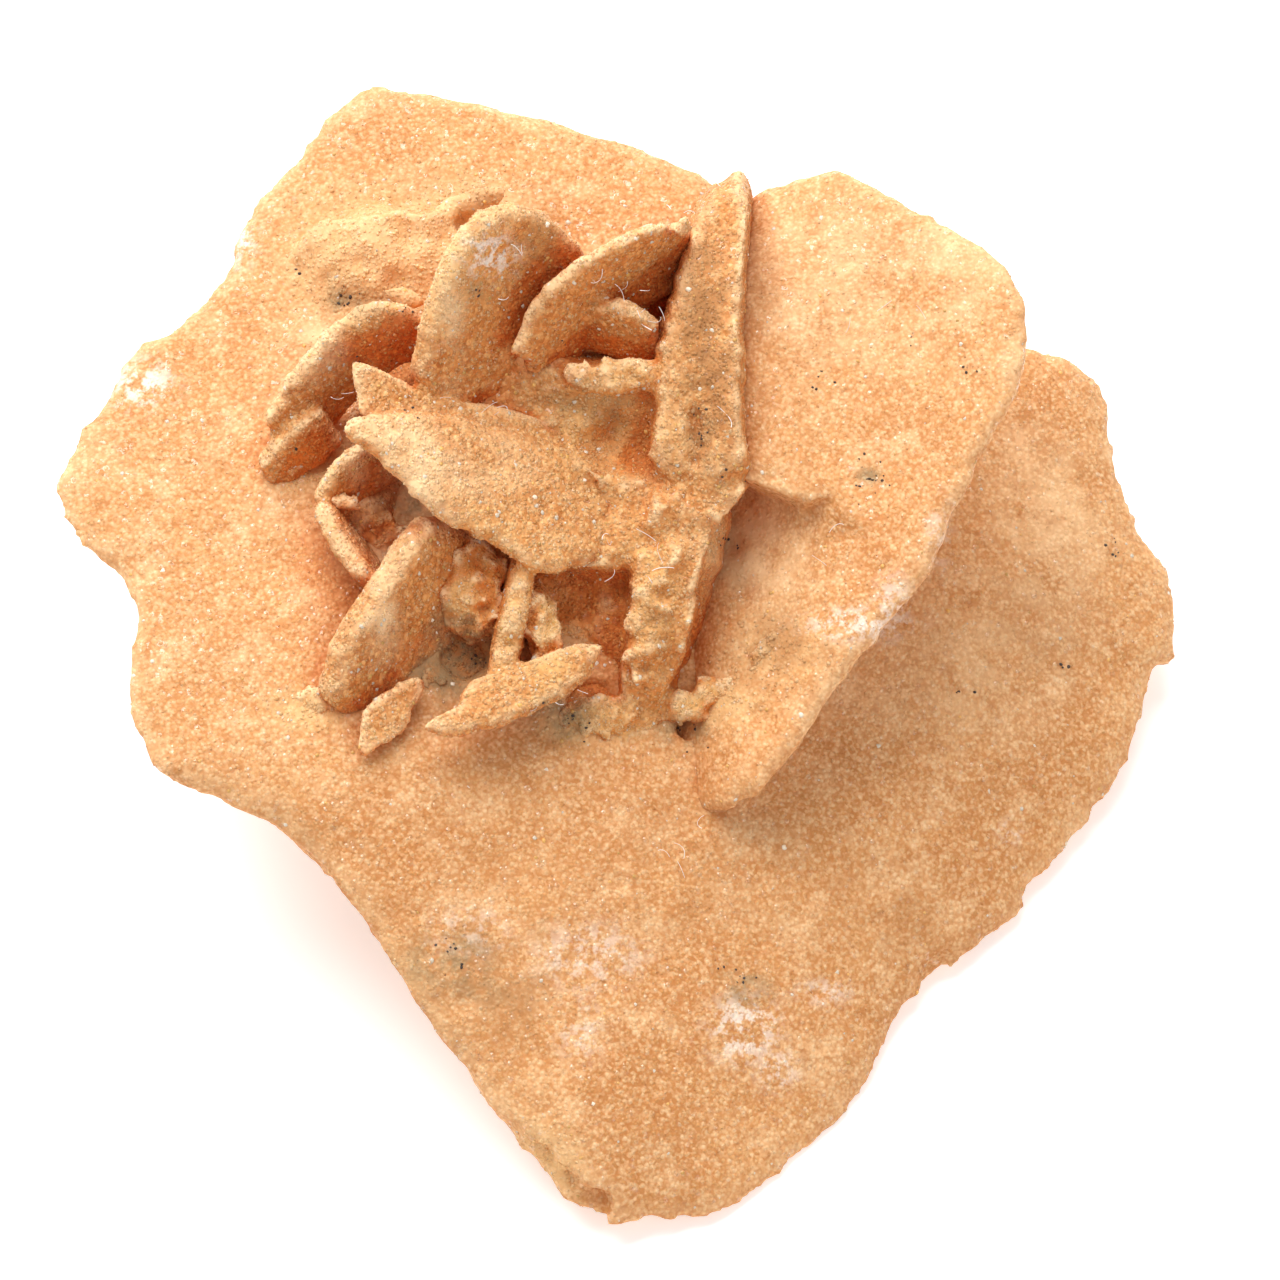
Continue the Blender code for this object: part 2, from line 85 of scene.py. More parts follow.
# The main blade: its face's level, slopes across and up, and droop in mm per mm squared along a way.
MAIN_LEVEL, MAIN_ACROSS, MAIN_UP, MAIN_DROOP = -1.9, -0.30, -0.25, 0.0085
DROOP_WAY = (-0.75, 0.66)
MAIN_THICK, MAIN_RIM = 3.7, 1.7  # thickness in the middle and at the rim
MAIN_OUTLINE = (
    (-15.9, 26.2), (-13.5, 27.9), (-10.5, 27.4), (-7.5, 26.9), (-4.2, 26.1), (1.0, 24.4), (4.0, 22.8),
    (8.0, 20.7), (12.0, 18.6), (16.0, 16.6), (19.5, 14.9), (22.2, 13.8), (23.6, 12.2), (23.8, 10.2),
    (24.2, 7.8), (25.2, 5.4), (26.6, 3.4), (27.0, 1.6), (26.8, -0.9), (25.8, -1.5), (25.0, -4.6),
    (23.9, -7.0), (21.0, -11.1), (19.4, -12.3), (18.8, -14.0), (14.5, -17.2), (13.0, -19.0),
    (10.5, -23.4), (8.0, -25.8), (4.2, -28.6), (0.5, -29.1), (-2.0, -29.3), (-3.5, -28.2),
    (-6.0, -25.0), (-8.5, -22.0), (-11.0, -18.5), (-14.0, -13.8), (-17.5, -10.0), (-21.0, -8.0),
    (-23.2, -7.3), (-24.6, -5.8), (-25.6, -3.0), (-25.2, 0.8), (-25.6, 2.6), (-28.5, 5.2),
    (-29.3, 7.0), (-29.0, 8.8), (-26.8, 12.2), (-25.4, 14.6), (-23.0, 16.1), (-20.6, 18.8),
    (-20.4, 20.2), (-18.6, 22.8), (-17.2, 24.4),
)
# The thinner layer under it shows where the upper layer has broken away.
SHELF_DEPTH, SHELF_THICK, SHELF_RIM = 1.2, 3.4, 1.5
SHELF_OUTLINE = (
    (-12.0, 24.0), (-3.0, 22.5), (8.0, 17.5), (20.0, 11.5), (22.5, 6.0), (24.3, 1.0), (22.0, -6.0),
    (17.0, -13.5), (11.5, -20.0), (7.0, -25.0), (0.5, -28.2), (-3.2, -28.4), (-5.6, -25.6),
    (-8.4, -22.2), (-11.2, -18.0), (-14.4, -13.2), (-18.0, -9.5), (-22.5, -5.5), (-23.5, 1.0),
    (-26.0, 6.5), (-22.5, 13.5), (-18.0, 20.0),
)
CHIPS = (  # where the upper layer's rim has flaked off: (across, up), half sizes, turn, depth below it
    ((15.4, -16.2), (2.4, 0.9), 42, 0.6),
    ((-21.4, 18.4), (1.9, 0.8), 55, 0.6),
)
CHIP_HEIGHT = 1.5  # half the height of the lump that takes a chip out
LEDGE_DEPTH = 2.2  # from the main blade's face plane to the layer that its broken corner lays bare
LEDGE_OUTLINE = (
    (-8.6, -25.4), (-7.2, -24.0), (-6.3, -24.0), (-5.6, -24.7), (-4.9, -25.0), (-4.4, -25.2), (-3.9, -26.2),
    (-3.2, -26.5), (-2.8, -27.3), (-1.7, -27.5), (-1.3, -28.2), (-1.9, -29.8), (-4.0, -30.6), (-7.0, -28.4),
)

# The page blade opens off the main one: its left side lies on it, its right rim is raised.
PAGE_LEVEL, PAGE_ACROSS, PAGE_UP = -2.73, 0.51, -0.317
PAGE_OUTLINE = (
    (5.4, 21.9), (7.5, 23.0), (9.5, 23.5), (11.5, 22.9), (13.2, 21.8), (15.3, 20.8), (18.1, 18.9),
    (19.0, 17.2), (19.4, 14.8), (18.9, 12.6), (17.5, 10.0), (16.1, 7.2), (15.2, 5.2), (14.3, 3.0),
    (12.5, 1.0), (11.0, -0.9), (9.5, -2.8), (8.2, -4.9), (7.1, -6.3), (5.8, -7.7), (4.2, -8.6),
    (2.9, -8.6), (2.0, -7.2), (1.6, -3.0), (1.4, 1.0), (1.6, 6.0), (2.2, 11.0), (3.2, 17.0),
)

# The ridge between the page blade and the hub: its upper part, and its broken lower part.
RIDGE_OUTLINE = (
    (5.0, 23.3), (3.8, 22.9), (2.7, 21.7), (2.2, 19.9), (1.6, 18.0), (1.0, 16.2), (0.7, 14.2),
    (0.7, 12.2), (0.5, 10.2), (0.4, 8.8), (1.4, 7.6), (3.4, 7.2), (5.2, 7.7), (5.6, 8.6), (5.3, 10.6),
    (5.3, 13.0), (5.3, 15.6), (5.4, 18.0), (5.5, 20.4), (5.6, 22.4),
)
BROKEN_OUTLINE = (
    (-0.2, 4.2), (-0.5, 2.2), (-0.8, -0.2), (-0.9, -2.4), (-1.3, -3.8), (-1.2, -5.4), (-0.2, -6.4),
    (0.8, -5.6), (0.9, -4.0), (1.2, -2.8), (1.7, -1.8), (2.3, -0.5), (2.6, 1.6), (3.0, 2.9), (3.4, 4.9),
    (3.6, 5.8), (4.6, 6.8), (5.5, 8.0), (3.6, 8.8), (1.4, 8.6), (0.2, 6.6),
)
# The bed of sand that the petals stand in: its outline, and how far out it lies at some places.
BED_OUTLINE = (
    (-13.6, 13.2), (-12.4, 15.8), (-9.4, 16.6), (-6.0, 17.0), (-2.4, 17.4), (0.8, 17.6), (3.2, 16.6),
    (4.0, 12.0), (4.4, 8.0), (4.2, 4.4), (3.0, 0.4), (1.4, -3.4), (-0.8, -5.6), (-4.0, -5.2),
    (-8.0, -4.6), (-11.0, -3.6), (-13.8, -1.4), (-15.2, 3.0), (-15.6, 7.0), (-15.0, 10.4),
)
BED = (
    (-12.6, 13.4, -4.2), (-10.4, 11.9, -1.4), (-7.6, 11.4, -0.4), (-5.2, 11.6, -0.3), (-3.4, 11.2, -0.2),
    (-2.2, 10.0, -0.6), (0.0, 9.6, -0.9), (1.6, 9.4, 0.3), (-4.2, 12.7, 0.2), (-3.0, 13.2, 0.9),
    (-1.4, 13.4, 1.3), (0.2, 13.3, 1.2), (-2.0, 12.0, 0.6), (-0.2, 11.9, 0.3), (-0.8, 10.8, -0.5),
    (-3.0, 8.2, 0.8), (-0.6, 7.2, 0.9),
    (1.2, 6.6, 1.2), (-1.6, 5.0, 1.3), (0.4, 4.4, 1.2), (2.6, 6.0, 1.2), (-2.4, 4.2, 1.3), (-0.9, 3.6, 1.2),
    (-2.4, 14.8, -3.0), (-0.8, 14.7, -3.4), (0.6, 14.5, -3.6), (1.0, 15.6, -5.0), (2.0, 13.4, 0.0),
    (0.6, 17.2, -5.5), (-0.6, 16.4, -4.4), (-10.8, 6.4, -4.6), (-11.9, 5.6, -2.2), (-13.6, 6.6, -0.8),
    (-12.8, 5.0, -1.2),
    (-13.6, 8.4, -2.6), (-14.6, 9.6, -3.6), (-15.2, 8.0, -1.4), (-12.8, 12.0, -3.8), (-6.0, 5.0, 0.0),
)
LOW_BED = (  # below the shelf petal's rim
    (-3.4, 2.4, -1.1), (-3.2, 0.6, -1.0), (-1.6, 1.4, -0.5), (-1.6, 3.0, -0.8), (-3.4, 3.6, -1.8),
    (-1.6, -1.6, -1.2), (-5.0, -0.6, -1.2), (-5.4, 3.2, -1.0), (-8.0, 2.6, -0.2), (-8.2, 0.2, -1.6),
    (-9.0, -1.6, -1.4), (-7.6, 4.6, -0.6), (-12.0, 4.2, -1.2), (-14.4, 4.4, -0.8), (-13.4, 3.4, -0.6),
    (-3.0, -3.8, -0.4), (-1.2, -4.2, -0.2), (-5.6, -3.6, 0.0), (-10.4, 3.4, -1.8),
)
PITS = (  # small holes in the ridge, the page blade and the bed: across, up, radius, depth
    (2.75, 11.2, 0.28, 0.9), (2.8, 10.4, 0.30, 1.0), (3.0, 9.7, 0.25, 0.8), (2.7, 8.9, 0.30, 0.9),
    (3.1, 10.8, 0.20, 0.5), (11.5, 8.2, 0.35, 0.25), (4.5, 4.7, 0.5, 0.4), (5.2, 2.6, 0.6, 0.4),
    (6.4, 4.2, 0.5, 0.3),
    (0.8, 3.7, 0.35, 0.5), (1.5, 2.6, 0.3, 0.5), (0.1, 1.0, 0.3, 0.4), (-1.6, 10.2, 0.5, 0.5),
    (-4.6, 11.8, 0.3, 0.4),
    (0.4, -0.6, 0.3, 0.4), (1.9, 0.8, 0.3, 0.4), (-2.0, 6.4, 0.5, 0.3), (1.6, 5.6, 0.4, 0.3),
)
HOLLOWS = (  # dug into the main blade's front under the petals: middle, half sizes, turn
    ((-8.6, -0.6, 0.4), (1.9, 1.3, 1.2), 40), ((-2.6, -3.0, -0.4), (1.6, 0.8, 0.9), 20),
    ((2.2, -4.4, -1.6), (0.7, 0.6, 1.2), 0), ((-12.6, 5.4, -0.2), (1.8, 1.4, 1.0), 0),
)

# Petals: outline, height of the middle, slopes across and up, thickness in the middle and at the rim.
PETALS = {
    "great_petal": ((
        (-11.3, 12.8), (-10.9, 15.0), (-10.5, 17.0), (-9.5, 19.5), (-8.0, 21.2), (-6.4, 21.8),
        (-4.7, 21.2), (-3.0, 19.6), (-2.8, 17.6), (-3.6, 15.2), (-5.4, 12.0), (-7.5, 10.4),
        (-9.8, 10.6),
    ), 1.0, -0.72, 0.58, 1.0, 1.9),
    "shelf_petal": ((
        (-14.7, 10.4), (-14.2, 11.1), (-12.6, 11.4), (-10.0, 11.1), (-7.0, 10.6), (-4.0, 9.6),
        (-1.0, 7.2), (-1.4, 5.2), (-2.2, 3.9), (-4.8, 3.3), (-6.8, 4.4), (-8.6, 5.3),
        (-10.5, 6.5), (-12.0, 8.0), (-13.5, 9.5),
    ), 2.6, -0.46, -0.36, 1.5, 1.0),
    "under_shelf_petal": ((
        (-14.4, 13.8), (-13.4, 13.6), (-12.0, 12.9), (-10.0, 12.1), (-7.0, 11.6), (-4.0, 10.5),
        (-2.0, 8.5), (-5.0, 8.0), (-10.0, 9.4), (-13.4, 10.8), (-14.2, 12.2),
    ), 1.3, -0.40, -0.22, 1.3, 0.9),
    "flake": ((
        (-11.5, -1.7), (-10.7, -2.0), (-10.9, -2.9), (-11.7, -4.3), (-13.1, -5.5), (-14.0, -5.6),
        (-13.7, -3.3), (-12.8, -2.5),
    ), 2.8, -0.30, -0.20, 0.6, 0.5),
    "crescent_petal": ((
        (-10.7, -4.3), (-9.9, -3.8), (-9.2, -3.4), (-8.9, -2.5), (-8.1, -1.9), (-7.0, -1.5),
        (-5.0, -0.9), (-3.9, -0.4), (-2.0, -0.2), (-2.0, -0.8), (-2.6, -1.9), (-3.8, -2.8),
        (-5.5, -3.7), (-8.0, -4.5), (-9.8, -4.7),
    ), 2.9, -0.10, -0.42, 1.3, 1.0),
}
# Blades that hang from a crest: the crest (across, up, out), the way that the face falls, how steeply,
# its length, and its thickness in the middle and at the rim.
HANGING = {
    "long_petal": ((
        (-6.15, 14.2, 1.4), (-5.8, 15.75, 2.2), (-5.1, 17.1, 2.6), (-3.9, 18.3, 2.7),
        (-2.4, 19.3, 2.6), (-0.7, 20.15, 2.4), (0.9, 20.8, 1.5), (1.8, 20.8, 0.2), (2.3, 20.6, -1.2),
    ), (0.62, -0.78), 1.5, 6.4, 0.9, 1.0),
    "wall_behind": ((
        (-2.2, 18.0, -3.0), (-0.8, 18.6, -2.4), (0.8, 18.8, -2.3), (2.2, 18.6, -2.6),
    ), (0.0, -1.0), 1.2, 5.0, 0.9, 0.8),
    "small_petal": ((
        (-2.4, 16.8, 0.4), (-1.6, 17.1, 0.9), (-0.7, 16.85, 1.1), (0.2, 16.35, 1.0),
        (1, 15.7, 0.5),
    ), (-0.05, -1), 0.9, 4, 1.2, 0.9),
    "left_petal": ((
        (-18.7, 11, -1), (-18, 12.4, -0.3), (-17, 13.9, 0.4), (-15.7, 15.4, 0.8),
        (-14.1, 16.4, 0.9), (-12.4, 16.85, 0.7), (-11.2, 16.5, 0.2),
    ), (0.58, -0.81), 1.25, 5.2, 1.3, 1.0),
    "low_left_petal": ((
        (-19.1, 8.6, -1.9), (-18.6, 9.7, -1.2), (-17.8, 10.6, -0.8), (-16.8, 11.3, -0.6),
        (-15.9, 11.6, -0.9),
    ), (0.55, -0.84), 0.8, 3, 1.3, 1.1),
    "tucked_petal": ((
        (-16.15, 6.7, -0.2), (-15.9, 7.8, 0.4), (-15.3, 8.8, 0.7), (-14.5, 9.5, 0.8),
        (-13.6, 9.8, 0.4),
    ), (0.85, -0.5), 1.2, 4.6, 1.0, 0.8),
    "thick_petal": ((
        (-10.2, 6.3, 2.2), (-11.3, 5.4, 3.2), (-12.3, 3.9, 3.7), (-13.3, 2.4, 3.9),
        (-14.3, 1, 3.9), (-15.1, -0.3, 3.7), (-15.6, -1.7, 3.4), (-15.7, -2.9, 2.8),
    ), (0.8, -0.6), 1.1, 6.6, 2.1, 1.8),
}

# Two thin sheets that stand on edge: the places (across, up, out) round each one.
KNIFE = (
    (-15.9, 6.8, 0.6), (-15.3, 5.4, 1.6), (-14.3, 3.9, 2.2), (-13.1, 2.5, 1.9),
    (-12.4, 1.8, 0.2), (-13.0, 3.2, -2.6), (-14.4, 5.2, -2.8), (-15.4, 6.4, -2.2),
)
STRUT = (
    (-5.9, 4.6, 1.0), (-6.0, 3.5, 2.3), (-6.3, 1.5, 2.9), (-6.7, -0.8, 2.9),
    (-7.0, -2.2, 2.6), (-7.1, -2.8, 0.4), (-6.8, 0.0, -2.5), (-6.2, 3.0, -3.0),
)

# Sand lumps: middle on the board, half sizes across, up and out, and turn in degrees.
SAND = {
    "clot_between_petals": ((-8.2, 2.7, -0.1), (1.4, 2.1, 1.3), 10),
    "clot_beside_sheet": ((-5.0, 0.6, 0.4), (1.0, 2.3, 1.5), 14),
    "clot_under_crescent": ((-2.8, -4.0, -0.7), (2.0, 1.1, 0.8), 10),
    "page_clot_high": ((6.9, -0.1, -0.45), (1.5, 0.45, 0.5), 42),
    "page_clot_low": ((3.3, -3.0, -1.9), (1.7, 0.6, 0.6), 14),
}
# Heaps of grains and small clots: middle, half sizes, turn, how many, smallest and largest radius.
CRUMBS = (
    ((-8.2, 2.6, 0.9), (1.7, 2.5, 1.0), 10, 130, 0.16, 0.50),
    ((-5.0, 0.6, 1.2), (1.0, 2.4, 0.9), 14, 120, 0.14, 0.44),
    ((-2.5, -3.9, 0.0), (2.4, 1.2, 0.5), 12, 200, 0.10, 0.26),
    ((6.9, -0.1, 0.05), (2.2, 0.7, 0.4), 42, 150, 0.12, 0.26),
    ((5.6, -2.6, -0.9), (1.6, 1.2, 0.4), 30, 60, 0.12, 0.24),
    ((3.3, -3.0, -0.8), (2.8, 1.1, 0.7), 14, 80, 0.16, 0.48),
    ((-16.2, -3.2, 2.05), (1.5, 1.0, 0.45), 20, 110, 0.10, 0.30),
    ((-13.0, 5.0, -1.6), (1.8, 1.8, 0.8), 0, 160, 0.12, 0.30),
    ((-14.9, 6.9, 0.0), (1.0, 0.5, 0.4), -10, 60, 0.10, 0.22),
    ((-17.6, 9.4, -2.0), (1.3, 1.1, 0.5), 40, 80, 0.12, 0.28),
    ((-1.6, 8.4, 0.9), (2.4, 1.6, 0.3), 0, 20, 0.12, 0.24),
    ((1.9, 9.6, 1.0), (1.0, 1.6, 0.5), 0, 60, 0.14, 0.30),
    ((0.6, 1.2, 1.3), (1.1, 3.6, 0.4), -12, 60, 0.20, 0.55),
    ((-1.2, 13.3, 0.8), (2.6, 0.9, 0.4), 0, 170, 0.12, 0.34),
    ((2.0, 20.6, 1.0), (0.6, 0.5, 0.4), 0, 24, 0.14, 0.30),
    ((-10.6, -2.0, 0.8), (1.2, 0.8, 0.4), 20, 24, 0.12, 0.26),
    ((5.4, -1.6, -1.4), (2.2, 1.6, 0.4), 30, 30, 0.12, 0.24),
)
MAIN_CRUMBS = (
    ((-12.4, 19.0, -7.2), (4.2, 2.7, 0.6), 15, 380, 0.16, 0.42),
    ((-8.6, 22.0, -7.9), (2.0, 0.7, 0.6), 12, 110, 0.16, 0.36),
    ((-15.6, 20.2, -7.6), (1.8, 1.2, 0.4), 15, 90, 0.14, 0.30),
    ((-11.8, 17.2, -5.4), (1.2, 0.6, 0.6), -20, 60, 0.15, 0.34),
)


# The rosette underneath, round an upright axis: turn, distance out, height of the middle, lean from
# upright, twist, half sizes along and down the slope, thickness in the middle and at the rim.
CORE = (-8.0, 7.0)
CORE_DROP, CORE_SIZE = 9.2, (7.0, 6.6, 6.4)  # its middle below the board's origin, and its half sizes
SKIRT = {
    "under_right": (12, 6.6, 3.6, 34, 30, 5.8, 5.4, 2.4, 1.5),
    "under_back_right": (58, 8.0, 4.6, 26, -42, 5.6, 6.2, 2.3, 1.4),
    "under_back": (104, 8.4, 5.2, 40, 24, 6.2, 5.6, 2.5, 1.5),
    "under_corner": (148, 9.2, 5.6, 22, 56, 5.2, 6.4, 2.2, 1.4),
    "under_left": (190, 9.2, 5.4, 38, -20, 6.0, 6.2, 2.5, 1.5),
    "under_front_left": (232, 8.6, 5.0, 20, 48, 5.4, 6.0, 2.2, 1.4),
    "under_front": (280, 7.6, 3.6, 36, -26, 6.0, 4.8, 2.4, 1.4),
    "under_front_right": (326, 6.8, 3.0, 24, 50, 5.0, 4.4, 2.1, 1.3),
}

# Stains, worn spots, and painted shade and light on the faces, on the board: middle, half sizes, strength.
FROST = (
    ((12.6, 1.6), (0.9, 1.6), 0.6), ((15.0, 5.2), (0.7, 1.8), 0.4),
    ((-25.0, 12.8), (1.6, 1.2), 0.9), ((-20.3, 20.2), (1.0, 1.4), 0.8), ((-2.5, -15.8), (2.6, 1.6), 0.5),
    ((-8.5, -14.5), (2.0, 1.2), 0.4), ((5.2, -19.4), (1.7, 1.6), 0.85), ((9.2, -17.6), (1.4, 0.6), 0.5),
    ((-7.5, 19.2), (1.3, 1.1), 0.9), ((11.0, 0.8), (2.6, 0.8), 0.8), ((6.9, -21.5), (1.0, 1.0), 0.6),
    ((18.6, -9.6), (0.6, 0.6), 0.5), ((-3.0, -19.4), (1.2, 1.6), 0.4),
)
DIRT_AND_PAINTED_SHADE = (  # partly dirt, partly painted shade in the hollows under the petals; some only below a height
    ((-9.5, -16.0), (2.2, 1.6), 0.8), ((-8.0, -17.5), (1.6, 1.0), 0.5), ((5.2, -17.4), (1.4, 1.0), 0.8),
    ((-14.8, 17.1), (1.0, 0.8), 0.9), ((-3.8, -3.9), (1.5, 1.0), 1.0),
    ((-8.9, -0.8), (1.8, 2.6), 1.0, 1.6), ((-10.3, -2.0), (1.5, 1.8), 1.0, 1.0),
    ((4.4, 3.4), (1.2, 3.6), 0.3), ((2.2, -4.6), (1.2, 0.8), 0.9), ((11.5, 8.2), (0.6, 0.5), 0.9),
    ((3.2, 10.4), (0.8, 1.4), 0.4), ((-11.2, 6.8), (1.1, 0.8), 1.0, 1.2),
    ((-12.4, 6.4), (1.2, 1.2), 0.6, 1.0), ((-8.0, 17.4), (0.8, 0.6), 0.5),
    ((-3.6, 12.0), (1.4, 1.0), 0.5),
)
PALE_AND_PAINTED_LIGHT = (  # paler places: partly paler stone, partly painted light on spots that lie in shade
    ((12.0, 18.0), (7.0, 4.5), 0.40), ((20.5, 5.0), (3.0, 5.0), 0.55), ((-12.6, 10.2), (1.9, 0.9), 1.0),
    ((-11.0, 8.6), (1.6, 2.4), 0.7), ((-8.6, 8.6), (3.6, 2.0), 0.4), ((-9.4, 16.6), (0.7, 3.6), 0.6),
    ((-14.6, 4.4), (0.8, 1.2), 0.7), ((-12.8, 1.8), (0.8, 2.8), 0.8), ((-16.6, 14.6), (1.6, 1.6), 0.8),
    ((-14.2, 8.6), (0.6, 1.0), 0.4), ((12.0, -2.0), (2.6, 3.6), 0.2),
    ((17.0, -1.4), (4.0, 4.0), 0.35), ((5.8, 4.4), (2.2, 2.6), 0.8), ((-12.6, 19.0), (4.0, 2.6), 0.4),
)
STAINS_AND_PAINTED_SHADE = (  # browner places: partly stains, partly painted shade
    ((3.4, 14.8), (1.6, 5.6), 1.2), ((3.4, 9.6), (0.9, 1.2), 0.7), ((6.4, 17.2), (1.0, 1.6), 0.5),
    ((1.0, 1.2), (1.0, 2.4), 0.4), ((4.8, 3.6), (1.4, 3.0), 0.3), ((-18.0, -9.4), (3.6, 1.2), 0.4),
    ((-10.0, -19.0), (1.6, 3.4), 0.5), ((-11.6, 22.8), (2.4, 0.8), 0.4), ((-8.2, 22.2), (1.0, 0.8), 0.8),
    ((-13.2, 17.0), (2.4, 0.8), 0.6), ((-5.2, 19.2), (1.2, 2.4), 0.6), ((4.0, -12.0), (3.0, 1.6), 0.3),
    ((-14.0, -9.4), (3.0, 1.4), 0.3), ((13.0, -14.0), (2.0, 2.0), 0.4), ((0.0, -22.0), (6.0, 5.0), 0.1),
    ((4.0, -12.0), (9.0, 4.0), 0.3), ((-8.0, -12.0), (6.0, 4.0), 0.2), ((7.0, -0.6), (2.4, 2.0), 0.8),
    ((-1.4, 9.4), (3.0, 2.4), 0.4), ((-1.0, 11.4), (1.8, 0.9), 0.9, 1.0),
    ((-7.0, -17.0), (3.0, 3.0), 0.8), ((-9.4, -1.2), (2.2, 2.6), 1.0, 1.4),
    ((20.0, 0.6), (2.4, 3.0), 0.3),
)
SANDY = (
    ((-4.9, -26.2), (1.9, 1.9), 0.8), ((-1.4, 10.6), (3.2, 2.4), 0.7), ((-1.0, 14.0), (2.0, 1.2), 0.5),
    ((-12.6, 18.9), (4.6, 3.2), 1.0), ((-8.8, 22.0), (2.4, 1.4), 0.8), ((-8.0, 2.0), (2.0, 3.4), 1.0),
    ((-4.6, 0.6), (1.4, 3.0), 1.0), ((6.8, -0.4), (2.6, 1.8), 0.5), ((3.2, -3.1), (2.4, 1.2), 1.0),
    ((-2.6, -4.0), (2.6, 1.2), 0.8), ((-16.4, 8.6), (2.2, 1.4), 0.7), ((0.4, 2.2), (1.6, 3.4), 0.6),
    ((-16.6, -3.4), (1.8, 1.0), 0.8), ((-12.0, -16.8), (1.6, 1.4), 0.3),
)
LINT = (  # middle on the board, spread, how many fibres and how long
    ((0.6, 16.0, 1.4), 0.4, 5, 1.1), ((-1.0, 16.8, 1.6), 0.5, 3, 1.2), ((-1.6, 19.0, 2.0), 0.8, 3, 1.4),
    ((-10.6, 11.2, 1.8), 0.6, 5, 1.2), ((-6.8, 11.4, 0.9), 0.6, 3, 1.2), ((-14.6, 12.6, 1.0), 0.5, 3, 0.9),
    ((4.6, 10.8, 2.2), 0.2, 1, 1.9), ((1.0, 4.0, 2.0), 0.7, 5, 1.3), ((3.0, 21.8, 1.6), 0.5, 3, 1.0),
    ((1.2, -10.0, 1.8), 1.0, 4, 1.3), ((9.8, 3.0, 2.6), 1.2, 3, 1.1), ((-6.4, 19.4, 3.2), 1.0, 3, 1.0),
    ((-5.0, -2.4, 3.4), 1.0, 3, 0.8), ((-2.0, 4.4, 2.2), 0.8, 3, 1.0), ((12.6, 15.8, 0.8), 1.4, 3, 1.1),
)
SPECKS = (  # dark grains: place on the board, spread, how many
    ((11.5, 8.2), 0.45, 16), ((4.5, 4.7), 0.30, 6), ((9.0, 13.0), 0.30, 5), ((16.2, 13.6), 0.25, 4),
    ((21.3, -1.3), 0.22, 4), ((24.0, 4.6), 0.28, 6), ((15.9, -2.5), 0.25, 4), ((-14.8, 17.1), 0.5, 9),
    ((-11.6, 16.6), 0.25, 3), ((5.0, -17.2), 0.5, 8), ((-9.6, -15.8), 0.6, 10), ((-8.0, 17.4), 0.2, 3),
    ((-3.8, 14.9), 0.15, 2), ((-11.2, 11.4), 0.35, 5), ((3.1, 10.2), 0.35, 6), ((3.0, 11.4), 0.25, 4),
    ((-17.3, 18.3), 0.2, 2), ((2.3, -4.8), 0.5, 8), ((-3.4, -3.9), 0.6, 8), ((-17.3, 9.4), 0.15, 2),
    ((-14.0, 14.0), 0.2, 2), ((4.4, 8.2), 0.3, 4), ((-8.4, -1.0), 0.9, 8), ((13.6, 14.8), 0.15, 2),
)


# ---------------------------------------------------------------- places and shapes, in millimetres

def board(across, up, out):
    """A place given on the board, in the frame of the finished rose."""
    return Vector((
        across,
        up * math.sin(LEAN) - out * math.cos(LEAN),
        up * math.cos(LEAN) + out * math.sin(LEAN) + BOARD_HEIGHT,
    )) - OFFSET


def board_places(points):
    """The across, up and out of many points at once."""
    moved = points + np.array(OFFSET)
    height = moved[:, 2] - BOARD_HEIGHT
    up = moved[:, 1] * math.sin(LEAN) + height * math.cos(LEAN)
    out = height * math.sin(LEAN) - moved[:, 1] * math.cos(LEAN)
    return moved[:, 0], up, out


def main_face(across, up):
    """How far out the main blade's face lies: sloping, and drooping towards one corner."""
    along = max(0.0, across * DROOP_WAY[0] + up * DROOP_WAY[1])
    return MAIN_LEVEL + MAIN_ACROSS * across + MAIN_UP * up - MAIN_DROOP * along * along


def smooth_share(value, low, high):
    """0 below low, 1 above high, and a smooth way between."""
    t = min(1.0, max(0.0, (value - low) / (high - low)))
    return t * t * (3 - 2 * t)


def page_face(across, up):
    """The page blade's front: it comes down to the main blade at its left edge."""
    raised = PAGE_LEVEL + PAGE_ACROSS * across + PAGE_UP * up
    hinge = main_face(across, up) + 0.15 + 1.3 * max(0.0, across - 2.2)
    return min(raised, hinge) - 0.25 * math.exp(-abs(raised - hinge))


def page_front(across, up):
    """The same, swelling towards the ridge above a sharp ledge, and sunken below it."""
    ledge = smooth_share(7.9 - 0.37 * (across - 5.4) - up, 0.0, 0.35)
    sunk = ledge * (1 - smooth_share(across, 6.6, 9.6)) * smooth_share(up, -4.4, -0.6)
    notch = ledge * (1 - smooth_share(across, 5.4, 7.4)) * smooth_share(up, 3.6, 6.6)
    spine = (1 - ledge) * (1 - smooth_share(across, 4.6, 12.5)) * (1 - 0.8 * smooth_share(up, 16.0, 23.0))
    return page_face(across, up) + 3.4 * spine - 0.2 * sunk - 0.4 * notch - pitted(across, up)


def ridge_face(across, up):
    """The top of the tall part of the ridge: hollowed along its middle, falling off to its tip."""
    middle = 3.2 + 0.14 * (up - 12)
    trough = 0.35 * math.exp(-((across - middle) / 1.0) ** 2) * smooth_share(up, 7.0, 10.0)
    band = 0.12 * noise.noise(Vector((across * 0.5, up * 1.3, 5.0)))
    fall = 0.027 * max(0.0, up - 11.0) ** 2 + 0.12 * (middle - across)
    return 1.9 - fall - trough + band - pitted(across, up)


def broken_face(across, up):
    """The rough top of the ridge's lower part, which runs down into the main blade."""
    low = smooth_share(-up, -1.0, 6.2)
    fall = 1.5 * (1 - low) + (main_face(across, up) + 0.1) * low
    rough = noise.noise(Vector((across * 0.9, up * 0.7, 3.0)))
    rough += 0.6 * noise.noise(Vector((across * 2.2, up * 2, 9)))
    return fall + 0.7 * rough * (1 - 0.7 * smooth_share(-up, 1.0, 5.0)) - pitted(across, up)


